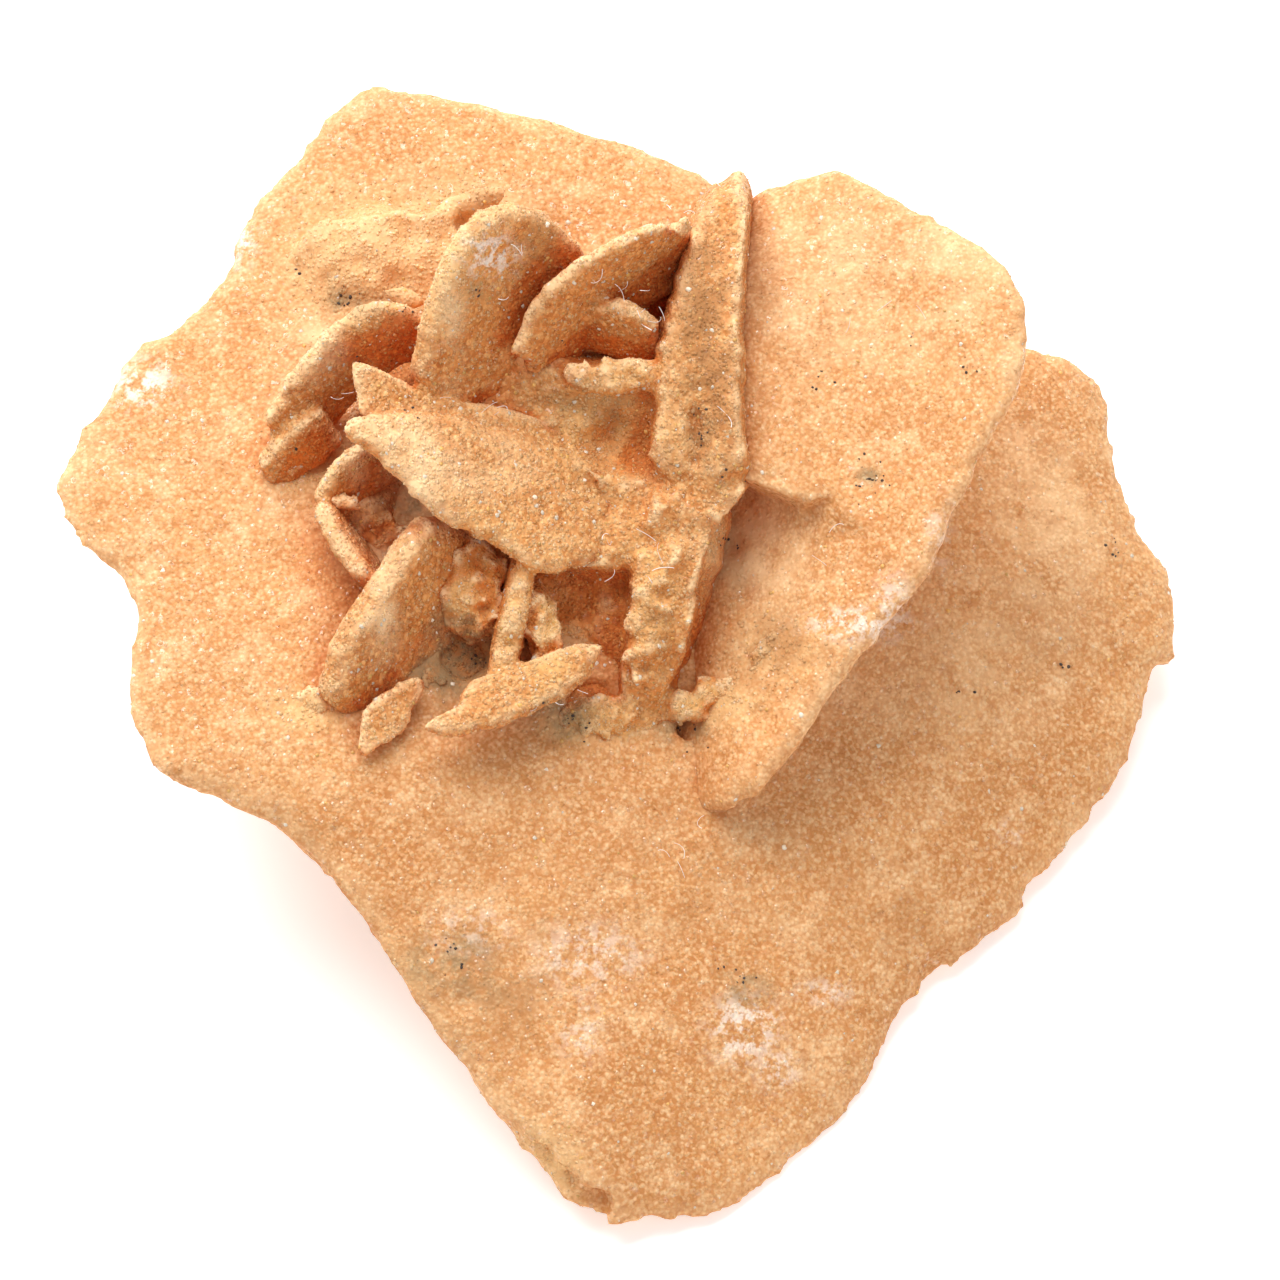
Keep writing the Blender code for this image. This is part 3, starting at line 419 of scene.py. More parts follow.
def pitted(across, up):
    """How deep the small holes are at a place."""
    return sum(
        depth * math.exp(-((across - at_across) ** 2 + (up - at_up) ** 2) / radius ** 2)
        for at_across, at_up, radius, depth in PITS
    )


def sheet(places, across, up):
    """A smooth sheet through some places."""
    total = weight = 0.0
    for at_across, at_up, out in places:
        near = 1.0 / (0.35 + (across - at_across) ** 2 + (up - at_up) ** 2) ** 2
        total += near * out
        weight += near
    return total / weight


def bed_height(across, up):
    """The sand bed's surface, with a step down below the shelf petal."""
    step = smooth_share(up - 0.25 * unevenness(Vector((across, up, 0)), 0.9, 2), 3.2, 3.6)
    rough = noise.noise(Vector((across * 0.8, up * 0.8, 1.0)))
    smooth = step * sheet(BED, across, up) + (1 - step) * sheet(LOW_BED, across, up)
    return smooth + 0.35 * rough - pitted(across, up)


def slanted(outline, level, across_slope, up_slope):
    """An outline of the board laid on a slanting plane."""
    mid_across = sum(point[0] for point in outline) / len(outline)
    mid_up = sum(point[1] for point in outline) / len(outline)
    return [
        board(across, up, level + across_slope * (across - mid_across) + up_slope * (up - mid_up))
        for across, up in outline
    ]


def curve_point(points, share):
    """A point of the closed Catmull-Rom curve through the points."""
    count = len(points)
    place = share * count
    start = int(place) % count
    t = place - int(place)
    before, first, second, after = (points[(start + step) % count] for step in (-1, 0, 1, 2))
    return 0.5 * (
        2 * first
        + (second - before) * t
        + (2 * before - 5 * first + 4 * second - after) * t * t
        + (3 * first - before - 3 * second + after) * t ** 3
    )


def outline_normal(points, towards):
    """The way square to a closed outline, on the side of another way."""
    total = Vector()
    for first, second in zip(points, points[1:] + points[:1]):
        total += first.cross(second)
    return total.normalized() * (1 if total.dot(towards) >= 0 else -1)


def unevenness(place, scale, seed):
    """Smooth noise from about -1 to 1, other for each seed."""
    return noise.noise(place * scale + Vector((seed * 7.3, seed * 3.1, seed * 5.7)))


def kept_mesh(shape):
    """A mesh made from the bmesh, which is freed."""
    mesh = bpy.data.meshes.new("shell")
    shape.to_mesh(mesh)
    shape.free()
    return mesh


def blade(outline, middle, rim, seed, turns=6, rings=26, front=(0, -0.5, 0.87), face=None,
          rough=0.12, ragged=0.22):
    """A lens-shaped crystal with two bulging faces and a blunt rim, as a closed shell."""
    outline = [Vector(point) for point in outline]
    normal = outline_normal(outline, Vector(front))
    centre = face or sum(outline, Vector()) / len(outline)
    shape = bmesh.new()
    bmesh.ops.create_uvsphere(shape, u_segments=turns * len(outline), v_segments=rings, radius=1)
    rims = {}
    for vertex in shape.verts:
        x, y, z = vertex.co
        reach = min(1.0, math.hypot(x, y)) ** RING_CROWDING
        share = round((math.atan2(y, x) / (2 * math.pi)) % 1.0, 6)
        if share not in rims:
            rim_point = curve_point(outline, share)
            scallop = unevenness(rim_point, 0.55, seed + 3) + 0.5 * unevenness(rim_point, 1.4, seed + 5)
            rims[share] = rim_point, 2 * ragged * (unevenness(rim_point, 1.1, seed) + 0.8 * scallop)
        rim_point, rim_wave = rims[share]
        lift = (rim_point - centre).dot(normal)
        flat = rim_point - centre - lift * normal
        place = centre + reach * flat + reach * reach * lift * normal
        place += reach ** 4 * rim_wave * flat.normalized()
        depth = 0.5 * rim * math.sqrt(max(0.0, 1 - reach ** RIM_POWER))
        depth += 0.5 * (middle - rim) * (1 - reach * reach)
        side = 0 if abs(z) < 1e-6 else math.copysign(1, z)
        place += normal * (side * depth + rough * 2 * unevenness(place, 0.16, seed + 11))
        if face:
            place -= OUTWARD * 0.5 * middle
        vertex.co = place
    if shape.calc_volume(signed=True) < 0:
        bmesh.ops.reverse_faces(shape, faces=shape.faces)
    return kept_mesh(shape)


def column(outline, front, back, seed, turns=6, rings=40, power=24, ragged=0.15, crowding=0.6):
    """A mass with steep sides that fills an outline on the board, between a front and a back surface."""
    rim_points = [Vector((across, up, 0)) for across, up in outline]
    centre = sum(rim_points, Vector()) / len(rim_points)
    shape = bmesh.new()
    bmesh.ops.create_uvsphere(shape, u_segments=turns * len(outline), v_segments=rings, radius=1)
    for vertex in shape.verts:
        x, y, z = vertex.co
        reach = min(1.0, math.hypot(x, y)) ** crowding
        rim_point = curve_point(rim_points, round((math.atan2(y, x) / (2 * math.pi)) % 1.0, 6))
        wave = unevenness(rim_point, 0.9, seed) + 0.7 * unevenness(rim_point, 2.0, seed + 4)
        rim_point = rim_point + 2 * ragged * wave * (rim_point - centre).normalized()
        across, up, _ = centre + reach * (rim_point - centre)
        high, low = front(across, up), back(across, up)
        side = 0 if abs(z) < 1e-6 else math.copysign(1, z)
        turned = math.sqrt(max(0.0, 1 - reach ** power))
        vertex.co = board(across, up, 0.5 * (high + low) + 0.5 * side * (high - low) * turned)
    if shape.calc_volume(signed=True) < 0:
        bmesh.ops.reverse_faces(shape, faces=shape.faces)
    return kept_mesh(shape)


def faced_blade(outline, face_height, depth, middle, rim, seed, **fineness):
    """A blade whose front follows a face of the board, or lies some depth below it."""
    ring = [board(across, up, face_height(across, up) - depth) for across, up in outline]
    across, up = (sum(values) / len(outline) for values in zip(*outline))
    peak = board(across, up, face_height(across, up) - depth)
    return blade(ring, middle, rim, seed, face=peak, **fineness)


def disc_outline(centre, normal, wide, tall, seed, points=14):
    """A wavy oval round a centre, square to the normal."""
    level = normal.cross(Vector((0, 0, 1))).normalized()
    slope = level.cross(normal)
    ring = []
    for index in range(points):
        angle = 2 * math.pi * index / points
        swell = 1 + 0.09 * math.sin(3 * angle + seed) + 0.06 * math.sin(5 * angle + 2.3 * seed)
        ring.append(
            centre + swell * (wide * math.cos(angle) * level + tall * math.sin(angle) * slope)
        )
    return ring


def lump(centre, size, seed, turn=0.0, rough=0.5, fine=4):
    """A rounded, knobbly mass of cemented sand."""
    shape = bmesh.new()
    bmesh.ops.create_icosphere(shape, subdivisions=fine, radius=1)
    for vertex in shape.verts:
        across, up, out = vertex.co
        knob = 1 + rough * unevenness(vertex.co * max(size), 0.35, seed)
        knob += 0.4 * rough * unevenness(vertex.co * max(size), 1.6, seed + 2)
        across, up = (
            across * size[0] * math.cos(turn) - up * size[1] * math.sin(turn),
            across * size[0] * math.sin(turn) + up * size[1] * math.cos(turn),
        )
        vertex.co = board(
            centre[0] + across * knob, centre[1] + up * knob, centre[2] + out * size[2] * knob
        )
    return kept_mesh(shape)


def crumbs(centre, size, turn, count, smallest, largest, seed):
    """A heap of grains and small clots stuck together."""
    draw = random.Random(seed)
    turn = math.radians(turn)
    shape = bmesh.new()
    for _ in range(count):
        way = Vector([draw.gauss(0, 1) for _ in range(3)]).normalized() * draw.random() ** 0.4
        across, up = way.x * size[0], way.y * size[1]
        place = board(
            centre[0] + across * math.cos(turn) - up * math.sin(turn),
            centre[1] + across * math.sin(turn) + up * math.cos(turn), centre[2] + way.z * size[2],
        )
        radii = [draw.uniform(smallest, largest) for _ in range(3)]
        matrix = Matrix.Translation(place) @ Matrix.Diagonal([*radii, 1])
        bmesh.ops.create_icosphere(shape, subdivisions=1, radius=1, matrix=matrix)
    return kept_mesh(shape)


def hung(crest, way, steep, length):
    """The outline of a blade that hangs from its crest, longest in the middle."""
    way = Vector((*way, 0)).normalized()
    drop = Vector((way.x, way.y, -steep)).normalized()
    foot = []
    for index, place in enumerate(crest):
        share = 0.45 + 0.55 * math.sin(math.pi * (index + 0.5) / len(crest)) ** 0.7
        foot.append(Vector(place) + length * share * drop)
    return [board(*place) for place in [*crest, *reversed(foot)]]


def piece_of(name, mesh):
    """A new object of the scene, at the origin."""
    made = bpy.data.objects.new(name, mesh)
    bpy.context.scene.collection.objects.link(made)
    return made


def joined(name, shells):
    """One object from several meshes, which are used up."""
    shape = bmesh.new()
    for shell in shells:
        shape.from_mesh(shell)
        bpy.data.meshes.remove(shell)
    mesh = bpy.data.meshes.new(name)
    shape.to_mesh(mesh)
    shape.free()
    return piece_of(name, mesh)


def settled(piece, name=None):
    """The piece with its modifiers taken into its mesh."""
    name = name or piece.name
    evaluated = piece.evaluated_get(bpy.context.evaluated_depsgraph_get())
    mesh = bpy.data.meshes.new_from_object(evaluated)
    bpy.data.objects.remove(piece, do_unlink=True)
    mesh.name = name
    return piece_of(name, mesh)


def cut(shell, scoops):
    """A closed shell less the scoops."""
    body = piece_of("being_cut", shell)
    helpers = bpy.data.collections.new("scoops")
    for scoop in scoops:
        helpers.objects.link(bpy.data.objects.new("scoop", scoop))
    step = body.modifiers.new("cut", "BOOLEAN")
    step.operation, step.operand_type, step.collection = "DIFFERENCE", "COLLECTION", helpers
    done = settled(body, "being_cut")
    mesh = done.data
    bpy.data.objects.remove(done, do_unlink=True)
    for helper in list(helpers.objects):
        bpy.data.objects.remove(helper, do_unlink=True)
    bpy.data.collections.remove(helpers)
    return mesh


# ------------------------------------------------------------------------------------- node trees

def add_node(tree, kind, sockets=None, **settings):
    """A new node with its settings, and with its inputs given values or joined to other sockets."""
    made = tree.nodes.new(kind)
    for key, value in settings.items():
        setattr(made, key, value)
    for key, value in (sockets or {}).items():
        if isinstance(value, bpy.types.NodeSocket):
            tree.links.new(value, made.inputs[key])
        else:
            made.inputs[key].default_value = value
    return made


def maths(tree, operation, *values):
    """The result of a Math node on two or three values or sockets."""
    return add_node(tree, "ShaderNodeMath", dict(enumerate(values)), operation=operation).outputs[0]


def between(tree, value, low, high, to_low=0.0, to_high=1.0):
    """The value eased from one range to another."""
    made = add_node(
        tree, "ShaderNodeMapRange",
        {"Value": value, "From Min": low, "From Max": high, "To Min": to_low, "To Max": to_high},
        interpolation_type="SMOOTHSTEP",
    )
    return made.outputs[0]


def new_tree(name, inputs):
    """A Geometry Nodes tree with a Geometry input and the named inputs given as (type, value)."""
    tree = bpy.data.node_groups.new(name, "GeometryNodeTree")
    tree.interface.new_socket("Geometry", in_out="OUTPUT", socket_type="NodeSocketGeometry")
    tree.interface.new_socket("Geometry", in_out="INPUT", socket_type="NodeSocketGeometry")
    for title, (kind, value) in inputs.items():
        socket = tree.interface.new_socket(title, in_out="INPUT", socket_type="NodeSocket" + kind)
        if value is not None:
            socket.default_value = value
    return tree, tree.nodes.new("NodeGroupInput").outputs


def run_tree(piece, tree, name=None, **values):
    """The piece as the tree leaves it, with the tree's inputs named in values set first."""
    step = piece.modifiers.new(tree.name, "NODES")
    step.node_group = tree
    wanted = {title.replace("_", " "): value for title, value in values.items()}
    for socket in tree.interface.items_tree:
        if socket.in_out == "INPUT" and socket.name in wanted:
            step[socket.identifier] = wanted[socket.name]
    return settled(piece, name)


def weathering_tree():
    """Uneven, worn crystal surface, with how far each place stands proud kept as "convexity"."""
    tree, given = new_tree("weathering", {
        "Swell": ("Float", 0.25), "Swell Size": ("Float", 6.0),
        "Relief": ("Float", 0.08), "Relief Size": ("Float", 1.2),
        "Pit Depth": ("Float", 0.15), "Pit Size": ("Float", 1.6),
        "Rim Wear": ("Float", 0.5), "Blur Steps": ("Int", 16), "Seed": ("Float", 0.0),
    })
    place = tree.nodes.new("GeometryNodeInputPosition").outputs[0]
    normal = tree.nodes.new("GeometryNodeInputNormal").outputs[0]
    blurred = add_node(
        tree, "GeometryNodeBlurAttribute", {"Iterations": given["Blur Steps"]}, data_type="FLOAT_VECTOR"
    )
    vector_in = [s for s in blurred.inputs if s.type == "VECTOR" and s.enabled][0]
    tree.links.new(place, vector_in)
    smooth = [s for s in blurred.outputs if s.type == "VECTOR" and s.enabled][0]
    apart = add_node(tree, "ShaderNodeVectorMath", {0: place, 1: smooth}, operation="SUBTRACT")
    proud = add_node(
        tree, "ShaderNodeVectorMath", {0: apart.outputs[0], 1: normal}, operation="DOT_PRODUCT"
    ).outputs["Value"]
    kept = add_node(
        tree, "GeometryNodeStoreNamedAttribute",
        {"Geometry": given["Geometry"], "Name": "convexity", "Value": proud},
        data_type="FLOAT", domain="POINT",
    )

    def wave(size, detail, shift):
        scale = maths(tree, "DIVIDE", 1.0, size)
        seed = maths(tree, "ADD", given["Seed"], shift)
        cloud = add_node(
            tree, "ShaderNodeTexNoise", {"Vector": place, "W": seed, "Scale": scale, "Detail": detail},
            noise_dimensions="4D",
        )
        return cloud.outputs[0]

    swell = maths(tree, "MULTIPLY", maths(tree, "SUBTRACT", wave(given["Swell Size"], 1.5, 0.0), 0.5), 2.0)
    swell = maths(tree, "MULTIPLY", swell, given["Swell"])
    relief = maths(tree, "SUBTRACT", wave(given["Relief Size"], 4.0, 10.0), 0.5)
    relief = maths(tree, "MULTIPLY", maths(tree, "MULTIPLY", relief, 2.0), given["Relief"])
    pits = between(tree, wave(given["Pit Size"], 2.0, 20.0), 0.60, 0.74)
    pits = maths(tree, "MULTIPLY", pits, given["Pit Depth"])
    wear = maths(tree, "MULTIPLY", maths(tree, "MAXIMUM", proud, 0.0), given["Rim Wear"])
    wear = maths(tree, "MULTIPLY", wear, between(tree, wave(given["Relief Size"], 3.0, 30.0), 0.35, 0.7))
    total = maths(tree, "SUBTRACT", maths(tree, "ADD", swell, relief), maths(tree, "ADD", pits, wear))
    push = add_node(tree, "ShaderNodeVectorMath", {0: normal, "Scale": total}, operation="SCALE")
    moved = add_node(
        tree, "GeometryNodeSetPosition", {"Geometry": kept.outputs[0], "Offset": push.outputs[0]}
    )
    add_node(tree, "NodeGroupOutput", {"Geometry": moved.outputs[0]})
    return tree


def grain_tree():
    """Grains lying on a surface: as many per square mm as Density times the cover attribute asks."""
    tree, given = new_tree("grains", {
        "Density": ("Float", 8.0), "Cover": ("String", "cover"), "Seed": ("Int", 1),
        "Smallest": ("Float", 0.14), "Largest": ("Float", 0.32), "Sink": ("Float", 0.15),
        "Rounded": ("Bool", False), "Contrast": ("Float", 1.0), "Material": ("Material", None),
    })
    cover = add_node(
        tree, "GeometryNodeInputNamedAttribute", {"Name": given["Cover"]}, data_type="FLOAT"
    ).outputs[0]
    density = maths(tree, "MULTIPLY", given["Density"], cover)
    spots = add_node(
        tree, "GeometryNodeDistributePointsOnFaces",
        {"Mesh": given["Geometry"], "Density": density, "Seed": given["Seed"]},
        distribute_method="RANDOM",
    )

    def chance(kind, low, high, shift):
        made = add_node(tree, "FunctionNodeRandomValue", data_type=kind)
        ends = [s for s in made.inputs if s.enabled and s.name in ("Min", "Max")]
        ends[0].default_value, ends[1].default_value = low, high
        tree.links.new(maths(tree, "ADD", given["Seed"], shift), made.inputs["Seed"])
        return [s for s in made.outputs if s.enabled][0]

    tint = add_node(
        tree, "GeometryNodeStoreNamedAttribute",
        {"Geometry": spots.outputs["Points"], "Name": "tint",
         "Value": maths(tree, "MULTIPLY", chance("FLOAT", -1.0, 1.0, 5), given["Contrast"])},
        data_type="FLOAT", domain="POINT",
    )
    tint = add_node(
        tree, "GeometryNodeStoreNamedAttribute",
        {"Geometry": tint.outputs[0], "Name": "grainy", "Value": 0.2}, data_type="FLOAT", domain="POINT",
    )
    share = maths(tree, "POWER", chance("FLOAT", 0.0, 1.0, 11), 1.6)
    span = maths(tree, "SUBTRACT", given["Largest"], given["Smallest"])
    size = maths(tree, "MULTIPLY_ADD", share, span, given["Smallest"])
    shape = add_node(
        tree, "ShaderNodeVectorMath", {0: chance("FLOAT_VECTOR", (0.7, 0.7, 0.6), (1.1, 1.1, 0.95), 3),
                                       "Scale": size}, operation="SCALE",
    )
    small = add_node(tree, "GeometryNodeMeshUVSphere", {"Segments": 4, "Rings": 2, "Radius": 0.5})
    round_one = add_node(tree, "GeometryNodeMeshIcoSphere", {"Subdivisions": 1, "Radius": 0.5})
    grain = add_node(
        tree, "GeometryNodeSwitch",
        {"Switch": given["Rounded"], "False": small.outputs[0], "True": round_one.outputs[0]},
        input_type="GEOMETRY",
    )
    smooth = add_node(tree, "GeometryNodeSetShadeSmooth", {0: grain.outputs[0]})
    drop = add_node(
        tree, "ShaderNodeVectorMath",
        {0: spots.outputs["Normal"], "Scale": maths(
            tree, "MULTIPLY", maths(tree, "MULTIPLY", size, given["Sink"]), -1.0)},
        operation="SCALE",
    )
    sunk = add_node(
        tree, "GeometryNodeSetPosition", {"Geometry": tint.outputs[0], "Offset": drop.outputs[0]}
    )
    placed = add_node(
        tree, "GeometryNodeInstanceOnPoints",
        {"Points": sunk.outputs[0], "Instance": smooth.outputs[0],
         "Rotation": chance("FLOAT_VECTOR", (0, 0, 0), (6.28, 6.28, 6.28), 7), "Scale": shape.outputs[0]},
    )
    real = add_node(tree, "GeometryNodeRealizeInstances", {0: placed.outputs[0]})
    dressed = add_node(
        tree, "GeometryNodeSetMaterial", {"Geometry": real.outputs[0], "Material": given["Material"]}
    )
    add_node(tree, "NodeGroupOutput", {"Geometry": dressed.outputs[0]})
    return tree


# -------------------------------------------------------------------------------------- materials

def new_material(name):
    material = bpy.data.materials.new(name)
    material.use_nodes = True
    tree = material.node_tree
    return material, tree, tree.nodes["Principled BSDF"]


def attribute(tree, name):
    return add_node(tree, "ShaderNodeAttribute", attribute_name=name).outputs["Fac"]


def mixed(tree, factor, first, second, blend="MIX"):
    made = add_node(tree, "ShaderNodeMix", {"Factor": factor}, data_type="RGBA", blend_type=blend)
    for title, value in (("A", first), ("B", second)):
        socket = [s for s in made.inputs if s.name == title and s.type == "RGBA"][0]
        if isinstance(value, bpy.types.NodeSocket):
            tree.links.new(value, socket)
        else:
            socket.default_value = (*value, 1.0)
    return [s for s in made.outputs if s.type == "RGBA"][0]


def sandstone(name, base, deep, pale, bump=1.0):
    """Gypsum packed with sand: grainy bump, colour that varies from grain to grain, pale rims partly worn
    and partly painted highlight, painted shade in hollows and on faces turned from the lamp.
    """
    material, tree, shader = new_material(name)
    place = tree.nodes.new("ShaderNodeTexCoord").outputs["Object"]

    def cloud(scale, detail=2.0, roughness=0.5, shift=0.0):
        where = place
        if shift:
            where = add_node(
                tree, "ShaderNodeVectorMath", {0: place, 1: (shift, shift, shift)}, operation="ADD"
            ).outputs[0]
        return add_node(
            tree, "ShaderNodeTexNoise",
            {"Vector": where, "Scale": scale, "Detail": detail, "Roughness": roughness},
        ).outputs[0]

    grains = add_node(tree, "ShaderNodeTexVoronoi", {"Vector": place, "Scale": 4600.0, "Randomness": 1.0})
    pick = add_node(tree, "ShaderNodeSeparateColor", {"Color": grains.outputs["Color"]})
    grainy = attribute(tree, "grainy")
    fleck = maths(tree, "MULTIPLY_ADD", between(tree, grainy, 0.5, 0.9), 0.5, 0.35)
    # Broad clouds, then blotches, then single grains.
    colour = base
    for scale, detail, roughness, shift, low, high, most, tone in (
        (150.0, 2.0, 0.5, 0.0, 0.38, 0.68, 0.80, deep),
        (330.0, 2.0, 0.6, 0.9, 0.50, 0.72, 0.75, pale),
        (800.0, 3.0, 0.75, 0.3, 0.48, 0.66, 0.80, deep),
        (2400.0, 1.0, 0.6, 0.5, 0.50, 0.72, 0.60, pale),
        (5200.0, 0.0, 0.6, 1.3, 0.48, 0.66, 0.45, pale),
        (4100.0, 0.0, 0.6, 1.7, 0.50, 0.68, 0.45, deep),
    ):
        shown = between(tree, cloud(scale, detail, roughness, shift), low, high, 0.0, most)
        colour = mixed(tree, shown, colour, tone)
    for channel, rarity, tone in ((0, 0.60, pale), (1, 0.64, deep)):
        shown = maths(tree, "MULTIPLY", between(tree, pick.outputs[channel], rarity, 1.0), fleck)
        colour = mixed(tree, shown, colour, tone)
    # Darker towards the edge of each grain: painted shade between the grains.
    gaps = between(tree, grains.outputs["Distance"], 0.25, 0.75, 0.0, 0.6)
    colour = mixed(tree, gaps, colour, (0.80, 0.57, 0.38), "MULTIPLY")
    tint = attribute(tree, "tint")
    colour = mixed(tree, between(tree, tint, 0.1, 1.0, 0.0, 0.5), colour, pale)
    colour = mixed(tree, between(tree, tint, -0.2, -1.0, 0.0, 0.30), colour, deep)
    # Sandy places are yellower, shut-in places get painted shade in deep orange, rims are paler.
    colour = mixed(tree, maths(tree, "MULTIPLY", attribute(tree, "sandy"), 0.6), colour, (0.90, 0.57, 0.25))
    # Painted shade: the more shut in a place is, the deeper orange it is painted.
    shut = between(tree, attribute(tree, "enclosed"), 0.10, 0.65)
    colour = mixed(tree, shut, colour, (0.88, 0.55, 0.30), "MULTIPLY")
    stuck = between(tree, grainy, 0.5, 0.9)
    colour = mixed(tree, stuck, colour, (1.0, 0.90, 0.73), "MULTIPLY")
    # Painted shade: faces turned from the lamp (away) are a deeper orange.
    painted_shade_turned_away = maths(tree, "MULTIPLY", attribute(tree, "away"), maths(tree, "MULTIPLY_ADD", stuck, 0.8, 0.2))
    colour = mixed(tree, painted_shade_turned_away, colour, (1.0, 0.80, 0.57), "MULTIPLY")
    proud = attribute(tree, "convexity")
    # Painted shade: darker in small hollows and creases.
    hollow = between(tree, proud, -0.02, -0.30, 0.0, 0.5)
    colour = mixed(tree, hollow, colour, (0.80, 0.60, 0.40), "MULTIPLY")
    patchy, spotty = cloud(470.0, 2.0, 0.7, 0.4), cloud(1000.0, 2.0, 0.65, 0.7)
    # Paler places: partly paler stone, partly painted light on spots in shade.
    colour = mixed(tree, maths(
        tree, "MULTIPLY", attribute(tree, "pale_and_painted_light"), between(tree, patchy, 0.25, 0.70)
    ), colour, (1.0, 0.69, 0.38))
    # Rims that stand proud are paler: partly wear, partly a painted highlight that is stronger on the side
    # turned to the lamp.
    rubbed_and_painted_highlight = maths(
        tree, "MULTIPLY", between(tree, proud, 0.02, 0.20), between(tree, spotty, 0.25, 0.52)
    )
    facing_light = maths(tree, "SUBTRACT", 1.0, attribute(tree, "away"))
    rubbed_and_painted_highlight = maths(tree, "MULTIPLY", rubbed_and_painted_highlight, maths(tree, "MULTIPLY_ADD", facing_light, 0.75, 0.1))
    rubbed_and_painted_highlight = maths(tree, "MULTIPLY", rubbed_and_painted_highlight, maths(tree, "MULTIPLY_ADD", stuck, 0.72, 0.28))
    colour = mixed(tree, rubbed_and_painted_highlight, colour, (1.0, 0.68, 0.37))
    # Browner places: partly stains, partly painted shade.
    stain_and_painted_shade = maths(
        tree, "MULTIPLY", attribute(tree, "stain_and_painted_shade"), between(tree, patchy, 0.30, 0.62)
    )
    colour = mixed(tree, maths(tree, "MULTIPLY", stain_and_painted_shade, 0.9), colour, (0.44, 0.19, 0.06))
    frost = maths(
        tree, "MULTIPLY", attribute(tree, "frost"), between(tree, cloud(1300.0, 3.0, 0.75), 0.44, 0.60)
    )
    colour = mixed(tree, maths(tree, "MULTIPLY", frost, 0.85), colour, (0.97, 0.86, 0.74))
    # Dark places: partly dirt, partly painted shade under the petals.
    dirt_and_painted_shade = maths(
        tree, "MULTIPLY", attribute(tree, "dirt_and_painted_shade"), between(tree, spotty, 0.30, 0.62)
    )
    colour = mixed(tree, maths(tree, "MULTIPLY", dirt_and_painted_shade, 0.7), colour, (0.24, 0.18, 0.09))
    tree.links.new(colour, shader.inputs["Base Color"])

    round_grains = between(tree, grains.outputs["Distance"], 0.0, 0.62, 1.0, 0.0)
    height = maths(tree, "MULTIPLY", round_grains, between(tree, pick.outputs[2], 0.0, 1.0, 0.35, 1.0))
    height = maths(tree, "MULTIPLY_ADD", cloud(2400.0, 0.0, 0.5), 0.6, height)
    relief = add_node(
        tree, "ShaderNodeBump",
        {"Height": height, "Strength": maths(tree, "MULTIPLY", grainy, bump), "Distance": 0.00014},
    )
    tree.links.new(relief.outputs[0], shader.inputs["Normal"])
    # A few grains shine.
    shiny = between(tree, pick.outputs[2], 0.93, 0.96)
    tree.links.new(between(tree, shiny, 0.0, 1.0, 0.72, 0.20), shader.inputs["Roughness"])
    tree.links.new(between(tree, shiny, 0.0, 1.0, 0.35, 0.9), shader.inputs["Specular IOR Level"])
    shader.subsurface_method = "BURLEY"
    shader.inputs["Subsurface Weight"].default_value = 0.32
    shader.inputs["Subsurface Radius"].default_value = (1.0, 0.5, 0.22)
    shader.inputs["Subsurface Scale"].default_value = 0.0007
    return material


def plain_grain(name, colour, roughness, subsurface=0.0, variation=0.35):
    """Loose grains of one kind, each a little different."""
    material, tree, shader = new_material(name)
    tint = attribute(tree, "tint")
    darker = tuple(part * (1 - variation) for part in colour)
    shade = mixed(tree, between(tree, tint, -1.0, 1.0), darker, colour)
    tree.links.new(shade, shader.inputs["Base Color"])
    shader.inputs["Roughness"].default_value = roughness
    if subsurface:
        shader.subsurface_method = "BURLEY"
        shader.inputs["Subsurface Weight"].default_value = subsurface
        shader.inputs["Subsurface Radius"].default_value = (1.0, 0.7, 0.45)
        shader.inputs["Subsurface Scale"].default_value = 0.0004
    return material


# ------------------------------------------------------------------------------- the rose's pieces

def remeshed(piece, voxel, smoothing):
    """The piece fused into one skin of small faces, and softened."""
    step = piece.modifiers.new("fusing", "REMESH")
    step.mode, step.voxel_size, step.adaptivity, step.use_smooth_shade = "VOXEL", voxel, 0.0, True
    soften = piece.modifiers.new("soften", "SMOOTH")
    soften.factor, soften.iterations = 0.5, smoothing
    return settled(piece)


def spotted(piece):
    """Stores each place's frost, sand, stains, dirt, painted shade and painted light, and how far it turns
    from the lamp.
    """
    mesh = piece.data
    places = np.zeros(len(mesh.vertices) * 3, np.float32)
    mesh.vertices.foreach_get("co", places)
    across, up, out = board_places(places.reshape(-1, 3).astype(float))
    normals = np.zeros(len(mesh.vertices) * 3, np.float32)
    mesh.vertices.foreach_get("normal", normals)
    normals = normals.reshape(-1, 3)
    facing = np.clip(normals @ np.array(OUTWARD) * 2.5 + 0.2, 0, 1)
    # How far each place turns from the lamp, kept as away for the painted shade.
    away = np.clip(0.55 - 1.6 * (normals @ np.array(LIGHT_WAY)), 0, 1).astype(np.float32)
    mesh.attributes.new("away", "FLOAT", "POINT").data.foreach_set("value", away)
    for name, spots in (
        ("frost", FROST), ("dirt_and_painted_shade", DIRT_AND_PAINTED_SHADE), ("sandy", SANDY), ("stain_and_painted_shade", STAINS_AND_PAINTED_SHADE), ("pale_and_painted_light", PALE_AND_PAINTED_LIGHT),
    ):
        total = np.zeros(len(across))
        for (mid_across, mid_up), (wide, tall), strength, *below in spots:
            far = ((across - mid_across) / wide) ** 2 + ((up - mid_up) / tall) ** 2
            here = strength * np.exp(-0.9 * far ** 1.5)
            total = np.maximum(total, here * (out < below[0]) if below else here)
        values = (total * facing).astype(np.float32)
        mesh.attributes.new(name, "FLOAT", "POINT").data.foreach_set("value", values)
    return piece


